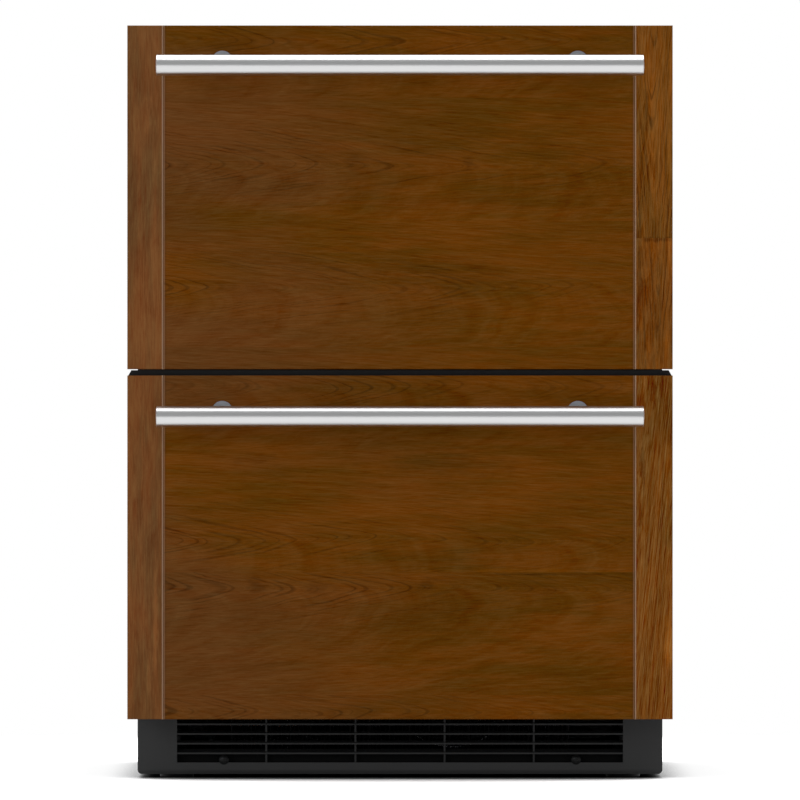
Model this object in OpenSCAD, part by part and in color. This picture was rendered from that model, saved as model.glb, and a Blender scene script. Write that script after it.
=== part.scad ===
// Undercounter refrigerator with two drawers behind wooden fronts.
// Millimetres. +Z up, the fronts face -Y, the origin is under the middle of the whole body.

/* [Wooden fronts] */
// Width of both fronts
panel_w = 606; // [600:1:680]
// Height of each front
panel_h = 382; // [370:1:400]
// Thickness of the wood
panel_t = 19; // [16:1:25]
// Gap between the two fronts
panel_gap = 7; // [5:0.5:9]
// Height of the lower front's bottom edge above the floor
panel_z = 67; // [60:1:70]
// Width of the left upright board
left_stile_w = 40; // [25:0.5:60]
// Width of the right upright board
right_stile_w = 42; // [25:0.5:60]
// Width of the V groove beside each upright board
groove_w = 3; // [1:0.25:4]
// Bevel along the outer edges of the wood
arris = 0.8; // [0.2:0.1:1.5]

/* [Handles] */
// Diameter of the handle bars
bar_d = 23; // [16:0.5:26]
// Distance from each end of a handle bar to the side of the wood
bar_inset = 32.5; // [25:0.5:80]
// Height of the dome on each bar end
bar_dome = 1; // [0.5:0.25:4]
// Distance from the wood to the front of the bar
bar_reach = 56; // [48:1:70]
// Distance from the top edge of the wood down to the bar's axis
bar_drop = 45.5; // [35:0.5:70]
// Distance from each end of a bar to the axis of its post
post_inset = 73; // [40:0.5:120]
// Diameter of the posts
post_d = 13; // [9:0.5:14]
// Rise of a post from the bar's axis to its flange
post_rise = 5.5; // [0:0.1:12]
// Diameter of the post flanges
flange_d = 23.6; // [16:0.2:28]
// Thickness of the post flanges
flange_t = 3; // [2:0.25:5]

/* [Doors] */
// Depth of the doors behind the wood
door_t = 42; // [35:1:60]
// How far the wood overhangs the doors at each side
door_inset = 1; // [0:0.5:4]
// Sheet thickness of the door pans
door_skin = 1; // [0.6:0.1:1.5]
// Running gap between the two doors
door_gap = 10; // [9:0.5:14]
// Height of the lip on each door's top cap
lip_h = 7; // [3:0.5:8]
// Depth of that lip, front to back
lip_t = 8; // [4:0.5:12]
// How far each end of the lip leans in at its top
lip_lean = 4; // [1:0.5:10]
// Thickness of the cap on top of each door
cap_t = 1.2; // [0.8:0.1:2]
// Thickness of the inner door liner
door_liner_t = 2; // [1:0.25:3]
// Depth of the raised field on the inner door liner
field_rise = 14; // [10:1:20]
// Clearance round that raised field in the cabinet opening
field_clear = 6; // [4:0.5:10]
// Depth of the closed gasket
gasket_t = 8; // [6:0.5:12]
// Width of the gasket's magnet bulb
gasket_w = 14; // [10:0.5:16]
// Gap left between the gasket and the cabinet face
gasket_clear = 0.3; // [0.1:0.1:0.5]

/* [Cabinet] */
// How far the wood overhangs the cabinet at each side
cabinet_inset = 10; // [6:0.5:18]
// Sheet thickness of the cabinet
sheet_t = 1; // [0.6:0.1:1.2]
// Height of the cabinet top above the upper door
top_clear = 4; // [3:0.5:8]
// Thickness of the insulated side walls
wall_t = 35.5; // [32:0.5:42]
// Thickness of the insulated top and floor
floor_t = 37; // [32:1:42]
// Thickness of the insulated back wall
back_t = 38; // [32:1:50]
// Thickness of the wall between the two compartments
mullion_t = 50; // [48:1:60]
// Wall thickness of the food liners
liner_t = 2; // [1.5:0.25:2.5]
// Corner radius of the food liners
liner_r = 10; // [5:1:20]
// Width of the flange round each food liner's mouth
liner_flange = 12; // [8:1:16]
// Thickness of the flanges that face the doors
face_t = 1.5; // [1:0.1:2]
// Depth of the machine bay at the bottom rear
bay_d = 200; // [190:1:215]
// Room above the condensate pan in the machine bay
bay_clear = 21.5; // [15:0.5:40]

/* [Kick plate and grille] */
// Depth of the kick plate in front of the cabinet
kick_d = 9; // [8:0.5:20]
// Height of the kick plate's lower edge above the floor
kick_z = 4; // [1:0.5:5]
// Sheet thickness of the kick plate
kick_t = 1.5; // [1:0.1:2]
// Radius of the rolled lower edge
kick_roll = 6; // [4:0.5:7]
// Radius of the lower corners
kick_corner = 5; // [3:0.5:8]
// Width of the plain part of the kick plate beside the grille opening
kick_side_w = 44; // [25:1:80]
// Height of the grille opening's bottom edge above the floor
grille_z = 17; // [16.5:0.5:18]
// Distance from one louvre to the next
slat_pitch = 10.8; // [9:0.1:14]
// Thickness of the louvres
slat_t = 1.8; // [1.2:0.1:2.5]
// How far the louvres lie behind the kick plate's face
slat_front = 0.5; // [0.3:0.1:2]
// Gap between the louvres and the cabinet
slat_back = 1; // [0.5:0.1:3]
// Rise of a louvre from front to rear
slat_rise = 2.5; // [0:0.1:4]
// Number of bays between the grille's uprights
grille_bays = 5; // [2:1:9]
// Width of the grille's uprights
upright_w = 2; // [1.5:0.1:4]
// Width of the flange round the back of the grille
grille_flange = 5; // [3:0.5:7]
// Distance of the kick plate screws from the sides of the grille opening
screw_inset = 52.5; // [30:0.5:120]
// Height of the screws above the grille opening's bottom edge
screw_rise = 3; // [3:0.1:7]
// Diameter of the bosses round the screws
screw_boss_d = 8.8; // [7:0.1:9]
// Gap between those bosses and the lowest louvre
screw_boss_gap = 1.9; // [0.1:0.1:3]
// Diameter of the screw heads
screw_head_d = 11; // [8:0.5:12]
// Diameter of the screw shanks
screw_d = 4.8; // [3.5:0.1:5]

/* [Slides] */
// Thickness of a closed slide
slide_t = 12.7; // [12:0.1:14]
// Height of the outer slide member
slide_h = 45; // [40:0.5:50]
// Distance of the slides behind the cabinet's front
slide_in = 11.5; // [8:0.5:20]
// How far the slides reach past the back of the bins
slide_over = 20.5; // [5:0.5:24]
// Thickness of the slide's steel
slide_gauge = 1.2; // [1:0.05:1.3]
// Room for the balls between two members
ball_room = 3; // [2.5:0.1:3.2]
// Running clearance of the balls
ball_clear = 0.05; // [0.02:0.01:0.1]
// Number of balls in each row
ball_count = 5; // [3:1:8]
// Height of the slides above the floor of the upper opening
upper_slide_rise = 82; // [60:1:150]
// Height of the slides above the top of the lower hump
lower_slide_rise = 50; // [40:1:70]

/* [Bins] */
// Depth of the bins, front to back
bin_d = 425; // [400:1:430]
// Wall thickness of the bins
bin_t = 2; // [1.5:0.25:3]
// Corner radius of the bins
bin_r = 14; // [8:1:25]
// Gap under the bins
bin_clear = 9; // [6:0.5:15]
// Room behind the bins, up to the evaporator cover
bin_back_gap = 23; // [22:1:40]
// Room above the upper bin
upper_bin_head = 106; // [60:1:160]
// Room above the lower bin
lower_bin_head = 36; // [20:1:80]
// Width of the rim round the top of the bins
rim_w = 3; // [2:0.5:5]
// Gap between the lower bin's step and the hump
step_clear = 14; // [8:1:25]

/* [Controls and lights] */
// Width of the control housing
control_w = 150; // [140:1:200]
// Depth of the control housing
control_d = 69; // [40:1:90]
// Height of the control housing
control_h = 22; // [18:1:26]
// Gap between the control housing and the closed door
control_clear = 2.5; // [2:0.5:6]
// Width of the display window
display_w = 46; // [30:1:50]
// Height of the display window and the buttons
display_h = 12; // [8:0.5:13]
// Width of the push buttons
button_w = 14; // [10:0.5:16]
// Distance from one push button to the next
button_pitch = 20; // [18:0.5:24]
// How far the push buttons stand out
button_proud = 1.5; // [1:0.1:1.8]
// Clearance round the push buttons
button_clear = 0.2; // [0.1:0.05:0.4]
// Travel of the push buttons
button_travel = 1.2; // [0.8:0.1:1.4]
// Distance of the lights behind the cabinet's front
lens_in = 120; // [90:1:200]
// Length of the light lenses
lens_l = 120; // [60:1:200]
// Thickness of the light lenses
lens_t = 5; // [3:0.5:8]

/* [Cold side] */
// Depth of the room behind the evaporator cover
cold_d = 45; // [42:1:48]
// Thickness of the evaporator cover
cold_cover_t = 2; // [1.5:0.25:3]
// Gap between the evaporator cover and each side wall
cold_side_gap = 17.5; // [13:0.5:40]
// Diameter of the evaporator fan
cold_fan_d = 96; // [80:1:100]
// Gap between the evaporator fan and the ceiling
cold_fan_gap = 14; // [8:1:30]
// Distance from each end of the evaporator coil to the side of its cover
cold_coil_inset = 40; // [26:1:100]
// Height of the evaporator coil above the floor of the upper opening
cold_coil_rise = 30; // [15:1:60]
// Gap between the evaporator coil and its fan
cold_coil_gap = 29; // [10:1:60]

/* [Machine bay] */
// Diameter of the condenser fan
fan_d = 140; // [110:1:150]
// Width of the condenser fan's square frame beside the fan
fan_frame = 12; // [9:0.5:20]
// Depth of the condenser fan's housing
fan_box_d = 32; // [28:1:40]
// Clearance of both fan shafts in their bearings
shaft_clear = 0.05; // [0.02:0.01:0.1]
// Diameter of both fan shafts
shaft_d = 5; // [4:0.5:8]
// Distance of the compressor's axis from the cabinet's side
pump_in = 132.5; // [110:0.5:150]
// Diameter of the compressor's shell
pump_d = 124; // [100:1:130]
// Height of the compressor's shell
pump_h = 142; // [120:1:160]
// Height of the compressor's rubber feet and base plate
pump_foot_h = 14; // [10:1:20]
// Height of the condensate pan
tray_h = 24; // [15:1:40]
// Width of the condenser coil
coil_w = 380; // [300:1:420]
// Depth of the condenser coil
coil_d = 130; // [100:1:150]
// Number of fins on each coil
fin_count = 16; // [8:1:24]
// Diameter of the coil tubes
tube_d = 8; // [6:0.5:9]

/* [Base and legs] */
// Height of the base pan's underside above the floor
pan_z = 12; // [11:0.5:12.5]
// Sheet thickness of the base pan
pan_t = 1.5; // [1:0.1:2]
// Height of the leg bosses above the base pan's underside
boss_h = 26; // [16:1:32]
// Diameter of the leg pads
pad_d = 38; // [30:1:45]
// Thickness of the leg pads
pad_t = 5; // [4:0.5:6]
// Diameter of the leg stems
stem_d = 10; // [8:0.5:12]
// Length of the leg stems
stem_len = 40; // [34:1:46]
// Clearance of the leg stems in their bosses
stem_clear = 0.05; // [0.02:0.01:0.1]
// Distance of the legs from the cabinet's sides
leg_in_x = 43; // [35:0.5:60]
// Distance of the legs from the cabinet's front and back
leg_in_y = 42; // [35:1:60]

/* [Fixings] */
// Distance of the countertop brackets from the cabinet's sides
bracket_inset = 93; // [60:0.5:150]
// Width of a countertop bracket
bracket_w = 40; // [25:1:60]
// Thickness of a countertop bracket
bracket_t = 1.5; // [1:0.1:2.5]
// How far a countertop bracket reaches over the door
bracket_reach = 26; // [22:1:30]
// Diameter of the screw hole in a countertop bracket
bracket_hole_d = 5; // [4:0.5:6]
// How far the machine cover lies in front of the back
cover_recess = 6; // [4:0.5:10]
// Distance of the cord bush from the cabinet's side
bush_in = 99.5; // [60:0.5:150]
// Height of the cord bush above the base pan's underside
bush_rise = 34; // [25:1:45]
// Bore of the cord bush
bush_bore = 9; // [7:0.5:12]

/* [Hidden] */
$fn = 64;
nudge = 1; // overshoot of a cut past the face it opens

// widths
door_w = panel_w - 2 * door_inset;
cabinet_w = panel_w - 2 * cabinet_inset;
room_w = cabinet_w - 2 * wall_t;

// planes along Y, from the handle back
cabinet_d = field_rise - gasket_t + bin_d + rim_w + bin_back_gap + cold_d + back_t;
total_d = bar_reach + panel_t + door_t + gasket_t + cabinet_d;
bar_front_y = -total_d / 2;
wood_y = bar_front_y + bar_reach;
door_y = wood_y + panel_t;
seal_y = door_y + door_t;
cab_y = seal_y + gasket_t;
back_y = cab_y + cabinet_d;
field_y = seal_y + field_rise;

// heights
lower_wood_z = panel_z;
upper_wood_z = panel_z + panel_h + panel_gap;
door_foot = 9;   // lower door's bottom above the wood's bottom
door_head = 1;   // upper lip's top below the wood's top
lower_door_z = panel_z + door_foot;
doors_top = upper_wood_z + panel_h - door_head - lip_h;
door_h = (doors_top - lower_door_z - door_gap) / 2;
upper_door_z = lower_door_z + door_h + door_gap;
cab_top = doors_top + top_clear;
deck_clear = 2;  // insulated box's underside above the lower door's bottom
deck_z = lower_door_z + deck_clear;
mullion_z = upper_door_z - door_gap / 2;

// food compartments, each [bottom, top] of its opening
room_back_y = back_y - back_t;
lower_room = [deck_z + floor_t, mullion_z - mullion_t / 2];
upper_room = [mullion_z + mullion_t / 2, cab_top - floor_t];

// machine bay and the hump that it makes in the lower compartment
bay_y = back_y - bay_d;
hump_y = bay_y - wall_t - sheet_t;
bay_top = pan_z + pan_t + pump_foot_h + pump_h + tray_h + bay_clear;
hump_z = bay_top + floor_t - liner_t;
cover_y = back_y - cover_recess;

// slides and bins
slide_x = room_w / 2;
slide_y = cab_y + slide_in;
bin_w = room_w - 2 * slide_t;
bin_y = field_y;
bin_back_y = bin_y + bin_d;
slide_len = bin_back_y + slide_over - slide_y;
slide_z_upper = upper_room[0] + upper_slide_rise;
slide_z_lower = hump_z + lower_slide_rise;

// slide section, measured from the liner wall towards the bin
outer_depth = 8;
middle_web = slide_gauge + 2.4;
middle_depth = 11;
inner_depth = 6.7;
middle_h = slide_h - 2 * slide_gauge - 2 * ball_room;
inner_h = middle_h - 2 * slide_gauge - 2 * ball_room;
ball_pitch = 18;
ball_margin = 10;

// controls
control_y = field_y + control_clear;
control_z = upper_room[1] - control_h;
control_mid_z = control_z + control_h / 2;
button_x = 28;

// cold side
cold_y = room_back_y - cold_d;
cold_w = room_w - 2 * cold_side_gap;
cold_fan_z = upper_room[1] - cold_fan_gap - cold_fan_d / 2;
cold_coil_w = cold_w - 2 * cold_coil_inset;
cold_coil_z = upper_room[0] + cold_coil_rise;
cold_coil_top = cold_fan_z - cold_fan_d / 2 - cold_coil_gap;

// base
leg_x = cabinet_w / 2 - leg_in_x;
leg_front_y = cab_y + leg_in_y;
leg_rear_y = back_y - leg_in_y - cover_recess;
pan_top = pan_z + pan_t;
kick_y = cab_y - kick_d;
kick_top = lower_door_z - 2;

wood = [0.37, 0.22, 0.07];
steel = [0.78, 0.78, 0.79];
black = [0.10, 0.10, 0.10];
grey = [0.32, 0.33, 0.35];
white = [0.92, 0.92, 0.91];

// ---------------------------------------------------------------- shared shapes

// Box between two corners
module box(x0, x1, y0, y1, z0, z1) {
    translate([x0, y0, z0]) cube([x1 - x0, y1 - y0, z1 - z0]);
}

// Box centred on X
module mid_box(w, y0, y1, z0, z1) {
    box(-w / 2, w / 2, y0, y1, z0, z1);
}

// Outline drawn in X and Z, extruded from y0 to y1
module along_y(y0, y1) {
    translate([0, y1, 0]) rotate([90, 0, 0]) linear_extrude(y1 - y0) children();
}

// Outline drawn in Y and Z, extruded from x0 to x1
module along_x(x0, x1) {
    translate([x0, 0, 0]) rotate([90, 0, 90]) linear_extrude(x1 - x0) children();
}

// The shape and its mirror image across the middle plane
module both_sides() {
    children();
    mirror([1, 0, 0]) children();
}

// Rectangle from corner to corner with rounded corners
module rounded_rect(x0, x1, y0, y1, r) {
    translate([x0 + r, y0]) square([x1 - x0 - 2 * r, y1 - y0]);
    translate([x0, y0 + r]) square([x1 - x0, y1 - y0 - 2 * r]);
    for (x = [x0 + r, x1 - r], y = [y0 + r, y1 - r]) translate([x, y]) circle(r);
}

// Rounded rectangle centred on the first axis
module mid_rounded(w, z0, z1, r) {
    rounded_rect(-w / 2, w / 2, z0, z1, r);
}

// Cylinder that runs along +Y from the point given
module rod_y(x, y, z, d, l) {
    translate([x, y, z]) rotate([-90, 0, 0]) cylinder(d = d, h = l);
}

// ---------------------------------------------------------------- wooden fronts

// Bevelled top and bottom edges of a front, seen from the side
module board_side(z) {
    polygon([
        [door_y, z], [wood_y + arris, z], [wood_y, z + arris],
        [wood_y, z + panel_h - arris], [wood_y + arris, z + panel_h], [door_y, z + panel_h]
    ]);
}

// Upright board from x0 to x1 with a bevel of its own along each upright front edge
module board(x0, x1, z, bevel0, bevel1) {
    color(wood) intersection() {
        translate([0, 0, z]) linear_extrude(panel_h) polygon([
            [x0, door_y], [x1, door_y], [x1, wood_y + bevel1], [x1 - bevel1, wood_y],
            [x0 + bevel0, wood_y], [x0, wood_y + bevel0]
        ]);
        along_x(x0 - nudge, x1 + nudge) board_side(z);
    }
}

module wood_field(z) {
    board(-panel_w / 2 + left_stile_w, panel_w / 2 - right_stile_w, z, groove_w / 2, groove_w / 2);
}

module left_stile(z) {
    board(-panel_w / 2, -panel_w / 2 + left_stile_w, z, arris, groove_w / 2);
}

module right_stile(z) {
    board(panel_w / 2 - right_stile_w, panel_w / 2, z, groove_w / 2, arris);
}

// ---------------------------------------------------------------- handles

// Height of a handle's axis on the front that starts at height z
function bar_z(z) = z + panel_h - bar_drop;
bar_y = bar_front_y + bar_d / 2;
bar_len = panel_w - 2 * bar_inset;
post_x = bar_len / 2 - post_inset;

// Bar with a shallow spherical dome on each end
module handle_bar(z) {
    straight = bar_len / 2 - bar_dome;
    dome_r = (pow(bar_d / 2, 2) + pow(bar_dome, 2)) / (2 * bar_dome);
    color(steel) translate([0, bar_y, bar_z(z)]) rotate([0, 90, 0]) {
        translate([0, 0, -straight]) cylinder(d = bar_d, h = 2 * straight);
        for (end = [0, 1]) mirror([0, 0, end]) intersection() {
            translate([0, 0, straight + bar_dome - dome_r]) sphere(dome_r);
            translate([0, 0, straight - bar_dome]) cylinder(d = bar_d, h = 3 * bar_dome);
        }
    }
}

// Raked posts, saddled to the bar, each with a round flange on the wood
module handle_posts(z) {
    span = wood_y - flange_t / 2 - bar_y;
    rake = atan2(post_rise, span);
    color(steel) both_sides() difference() {
        translate([post_x, 0, bar_z(z) + post_rise]) {
            translate([0, wood_y, 0]) rotate([90, 0, 0]) cylinder(d = flange_d, h = flange_t);
            translate([0, wood_y - flange_t / 2, 0]) rotate([90 + rake, 0, 0])
                cylinder(d = post_d, h = norm([span, post_rise]));
        }
        translate([0, bar_y, bar_z(z)]) rotate([0, 90, 0]) cylinder(d = bar_d, h = bar_len);
    }
}

// ---------------------------------------------------------------- doors

// Sheet pan, open towards the cabinet
module door_pan(z) {
    color(black) difference() {
        mid_box(door_w, door_y, seal_y - door_liner_t, z, z + door_h);
        mid_box(door_w - 2 * door_skin, door_y + door_skin, seal_y,
            z + door_skin, z + door_h - door_skin);
    }
}

module door_foam(z) {
    color(white) mid_box(door_w - 2 * door_skin, door_y + door_skin, seal_y - door_liner_t,
        z + door_skin, z + door_h - door_skin);
}

// Inner liner: a flat plate with a raised, stepped field that enters the opening
module door_liner(z, room) {
    step = 4;
    color(white) {
        mid_box(door_w, seal_y - door_liner_t, seal_y, z, z + door_h);
        for (level = [0, 1]) {
            inset = field_clear + level * step;
            along_y(seal_y - door_liner_t / 2, field_y - (1 - level) * step)
                mid_rounded(room_w - 2 * inset, room[0] + inset, room[1] - inset, liner_r);
        }
    }
}

// Cap on the door's top edge, its lip leaning in at both ends
module door_cap(z) {
    top = z + door_h;
    color(black) {
        along_y(door_y, door_y + lip_t) polygon([
            [-panel_w / 2, top], [panel_w / 2, top],
            [panel_w / 2 - lip_lean, top + lip_h], [-panel_w / 2 + lip_lean, top + lip_h]
        ]);
        mid_box(door_w, door_y + lip_t / 2, seal_y, top, top + cap_t);
    }
}

// Outline of a ring round a door's back, inset from the gasket's own outer edge
module gasket_ring(z, inset, width) {
    edge_x = 7.5;
    edge_z = 3;
    x = cabinet_w / 2 - edge_x - inset;
    z0 = z + edge_z + inset;
    z1 = z + door_h - edge_z - inset;
    difference() {
        translate([-x, z0]) square([2 * x, z1 - z0]);
        translate([-x + width, z0 + width]) square([2 * (x - width), z1 - z0 - 2 * width]);
    }
}

// Gasket: a root on the liner, a narrow bellows and the magnet bulb
module gasket(z) {
    root = gasket_w * 0.7;
    neck = gasket_w * 0.4;
    bulb = gasket_w;
    reach = gasket_t - gasket_clear;
    color(grey) {
        along_y(seal_y, seal_y + reach * 0.3) gasket_ring(z, (bulb - root) / 2, root);
        along_y(seal_y + reach * 0.3, seal_y + reach * 0.5) gasket_ring(z, (bulb - neck) / 2, neck);
        along_y(seal_y + reach * 0.5, seal_y + reach) gasket_ring(z, 0, bulb);
    }
}

// ---------------------------------------------------------------- bins

// Bin plan with rounded rear corners, grown inwards by the wall
module bin_plan(wall, y1) {
    rounded_rect(-bin_w / 2 + wall, bin_w / 2 - wall,
        bin_y + wall, y1 - wall, bin_r - wall);
}

// Flat rim round the mouth of a bin
module bin_rim(top, y1) {
    translate([0, 0, top - bin_t]) linear_extrude(bin_t) difference() {
        rounded_rect(-bin_w / 2 - rim_w, bin_w / 2 + rim_w, bin_y, y1 + rim_w, bin_r);
        bin_plan(bin_t / 2, y1);
    }
}

module upper_bin() {
    floor_z = upper_room[0] + bin_clear;
    h = upper_room[1] - upper_bin_head - floor_z;
    color(white) {
        difference() {
            translate([0, 0, floor_z]) linear_extrude(h) bin_plan(0, bin_back_y);
            translate([0, 0, floor_z + bin_t]) linear_extrude(h) bin_plan(bin_t, bin_back_y);
        }
        bin_rim(floor_z + h, bin_back_y);
    }
}

// Lower bin: deep in front, shallow where it passes over the hump
module lower_bin() {
    floor_z = lower_room[0] + bin_clear;
    h = lower_room[1] - lower_bin_head - floor_z;
    step_y = hump_y - step_clear;
    shelf_z = hump_z + bin_clear;
    color(white) {
        difference() {
            translate([0, 0, floor_z]) linear_extrude(h) bin_plan(0, bin_back_y);
            mid_box(room_w, step_y, bin_back_y + nudge, floor_z - nudge, shelf_z);
            translate([0, 0, floor_z + bin_t]) linear_extrude(h) bin_plan(bin_t, step_y);
            translate([0, 0, shelf_z + bin_t]) linear_extrude(h) bin_plan(bin_t, bin_back_y);
        }
        bin_rim(floor_z + h, bin_back_y);
    }
}

// ---------------------------------------------------------------- slides

// Channel section drawn in X and Z, its web at the start and its mouth towards the bin
module channel_outwards(start, end, h) {
    difference() {
        translate([slide_x - end, -h / 2]) square([end - start, h]);
        translate([slide_x - end - nudge, -h / 2 + slide_gauge])
            square([end - start - slide_gauge + nudge, h - 2 * slide_gauge]);
    }
}

// Channel section with its web against the bin
module channel_inwards(start, end, h) {
    difference() {
        translate([slide_x - end, -h / 2]) square([end - start, h]);
        translate([slide_x - end + slide_gauge, -h / 2 + slide_gauge])
            square([end - start - slide_gauge + nudge, h - 2 * slide_gauge]);
    }
}

module outer_rails(z) {
    color(steel) both_sides() translate([0, 0, z])
        along_y(slide_y, slide_y + slide_len) channel_outwards(0, outer_depth, slide_h);
}

// Row of balls that runs from y0 rearwards at height v, set into the middle member
module ball_row(y0, depth, v) {
    for (i = [0 : ball_count - 1]) {
        translate([slide_x - depth, y0 + ball_margin + i * ball_pitch, v]) sphere(d = ball_room);
    }
}

// Middle members, with their ball rows at the rear outside and at the front inside
module middle_rails(z) {
    row = (ball_count - 1) * ball_pitch + 2 * ball_margin;
    outer_v = middle_h / 2 + ball_room / 2 - ball_clear;
    inner_v = middle_h / 2 - slide_gauge - ball_room / 2 + ball_clear;
    color(steel) both_sides() translate([0, 0, z]) {
        along_y(slide_y, slide_y + slide_len) channel_outwards(middle_web, middle_depth, middle_h);
        for (side = [-1, 1]) {
            ball_row(slide_y + slide_len - row, (middle_web + outer_depth) / 2, side * outer_v);
            ball_row(slide_y, (inner_depth + middle_depth) / 2, side * inner_v);
        }
    }
}

// Inner members on the bin's sides, with the lugs that hold the door
module inner_rails(z) {
    lug_t = 2;
    lug_w = room_w / 2 - field_clear - 4 - bin_w / 2;
    color(steel) both_sides() translate([0, 0, z]) {
        along_y(bin_y + lug_t, bin_back_y) channel_inwards(inner_depth, slide_t, inner_h);
        translate([bin_w / 2, bin_y, -inner_h / 2]) cube([lug_w, lug_t, inner_h]);
    }
}

// ---------------------------------------------------------------- cabinet

// Outline of the insulated box and its deck in Y and Z; grow moves the deck down and out
module insulated_side(grow, y0, y1, top) {
    polygon([
        [y0, deck_z - grow], [bay_y - sheet_t + grow, deck_z - grow],
        [bay_y - sheet_t + grow, bay_top + sheet_t - grow], [y1, bay_top + sheet_t - grow],
        [y1, top], [y0, top]
    ]);
}

// Wrapper: sides, top, front flanges and the stepped deck under the insulation
module cabinet_shell() {
    inside = cabinet_w - 2 * sheet_t;
    flange_x = room_w + 2 * liner_flange;
    color(black) {
        difference() {
            mid_box(cabinet_w, cab_y, back_y, pan_z, cab_top);
            mid_box(inside, cab_y - nudge, back_y + nudge, pan_z - nudge, cab_top - sheet_t);
        }
        difference() {
            mid_box(inside, cab_y, cab_y + face_t, deck_z - sheet_t, cab_top - sheet_t);
            mid_box(flange_x, cab_y - nudge, cab_y + face_t + nudge,
                lower_room[0] - liner_flange, upper_room[1] + liner_flange);
        }
        difference() {
            along_x(-inside / 2, inside / 2)
                insulated_side(sheet_t, cab_y, back_y - sheet_t, bay_top + 2 * sheet_t);
            along_x(-cabinet_w / 2, cabinet_w / 2)
                insulated_side(0, cab_y - nudge, back_y, cab_top);
        }
    }
}

module back_panel() {
    color(grey) mid_box(cabinet_w - 2 * sheet_t, back_y - sheet_t, back_y,
        bay_top + sheet_t, cab_top - sheet_t);
}

// Outside of a food liner, without the flange
module liner_outside(room) {
    along_y(cab_y, room_back_y + liner_t)
        mid_rounded(room_w + 2 * liner_t, room[0] - liner_t, room[1] + liner_t, liner_r + liner_t);
}

// Room inside a food liner, open past its mouth
module liner_inside(room) {
    along_y(cab_y - nudge, room_back_y) mid_rounded(room_w, room[0], room[1], liner_r);
}

// Part of the lower compartment that the machine bay takes
module hump(grow) {
    mid_box(cabinet_w, hump_y - grow + liner_t, back_y, deck_z, hump_z - liner_t + grow);
}

// Flange round a liner's mouth, in the plane that the gasket meets
module liner_mouth(room) {
    difference() {
        mid_box(room_w + 2 * liner_flange, cab_y, cab_y + face_t,
            room[0] - liner_flange, room[1] + liner_flange);
        along_y(cab_y - nudge, cab_y + face_t + nudge)
            mid_rounded(room_w, room[0], room[1], liner_r);
    }
}

module upper_liner() {
    color(white) {
        difference() {
            liner_outside(upper_room);
            liner_inside(upper_room);
        }
        liner_mouth(upper_room);
    }
}

module lower_liner() {
    color(white) {
        difference() {
            liner_outside(lower_room);
            hump(0);
            difference() {
                liner_inside(lower_room);
                hump(liner_t);
            }
        }
        liner_mouth(lower_room);
    }
}

// Steel channel across the mullion's front, its legs in the insulation
module mullion_rail() {
    leg_d = 15;
    low = lower_room[1] + liner_flange;
    high = upper_room[0] - liner_flange;
    color(black) difference() {
        mid_box(room_w + 2 * liner_flange, cab_y, cab_y + leg_d, low, high);
        mid_box(cabinet_w, cab_y + face_t, cab_y + leg_d + nudge, low + face_t, high - face_t);
    }
}

// Foam between the wrapper and the liners
module insulation() {
    color([0.93, 0.86, 0.6]) difference() {
        along_x(-cabinet_w / 2 + sheet_t, cabinet_w / 2 - sheet_t)
            insulated_side(0, cab_y + face_t, back_y - sheet_t, cab_top - sheet_t);
        liner_outside(upper_room);
        difference() {
            liner_outside(lower_room);
            hump(0);
        }
        mullion_rail();
    }
}

// ---------------------------------------------------------------- base

// Position of each leg: side -1 or 1, y of its axis
module at_leg(side, y) {
    translate([side * leg_x, y, 0]) children();
}

// Shallow tray with turned-up edges and a bored boss for each leg
module base_pan() {
    inside = cabinet_w - 2 * sheet_t;
    edge_h = 15;
    front_h = 20;
    boss_d = stem_d + 12;
    boss_top = pan_z + boss_h;
    pan_back_y = cover_y - sheet_t;
    color(grey) difference() {
        union() {
            mid_box(inside, cab_y, pan_back_y, pan_z, pan_top);
            mid_box(inside, cab_y, cab_y + pan_t, pan_z, pan_z + front_h);
            mid_box(inside, pan_back_y - pan_t, pan_back_y, pan_z, pan_z + edge_h);
            both_sides() box(inside / 2 - pan_t, inside / 2, cab_y, pan_back_y, pan_z, pan_z + edge_h);
            for (side = [-1, 1], y = [leg_front_y, leg_rear_y]) at_leg(side, y)
                translate([0, 0, pan_z]) cylinder(d = boss_d, h = boss_top - pan_z);
        }
        for (side = [-1, 1], y = [leg_front_y, leg_rear_y]) at_leg(side, y)
            cylinder(d = stem_d + 2 * stem_clear, h = boss_top + nudge);
        both_sides() rod_y(screw_x, cab_y - nudge, screw_z, screw_d + 0.2, pan_t + 2 * nudge);
    }
}

// Levelling leg: pad, hexagon and stem
module leg(side, y) {
    hex_d = stem_d + 9;
    hex_h = pan_z - pad_t - 0.3;
    color(steel) at_leg(side, y) {
        cylinder(d = pad_d, h = pad_t);
        translate([0, 0, pad_t]) cylinder(d = hex_d, h = hex_h, $fn = 6);
        cylinder(d = stem_d, h = pad_t + stem_len);
    }
}

// ---------------------------------------------------------------- kick plate

grille_w = cabinet_w - 2 * kick_side_w;
grille_top = kick_top - kick_t - 2.5;
bay_w = grille_w / grille_bays;
screw_x = grille_w / 2 - screw_inset;
screw_z = grille_z + screw_rise;
slat_z = screw_z + screw_boss_d / 2 + screw_boss_gap + slat_t / 2;

// Front outline of the kick plate, its lower corners rounded
module kick_front(inset) {
    r = kick_corner - inset;
    x = cabinet_w / 2 - inset;
    low = kick_z + inset;
    translate([-x, low + r]) square([2 * x, kick_top - inset - low - r]);
    translate([-x + r, low]) square([2 * (x - r), r + nudge]);
    for (side = [-1, 1]) translate([side * (x - r), low + r]) circle(r);
}

// Side outline of the kick plate with its rolled lower edge
module kick_side(inset, y1) {
    r = kick_roll - inset;
    front = kick_y + inset;
    low = kick_z + inset;
    translate([front, low + r]) square([y1 - front, kick_top - inset - low - r]);
    translate([front + r, low]) square([y1 - front - r, r + nudge]);
    translate([front + r, low + r]) circle(r);
}

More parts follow.
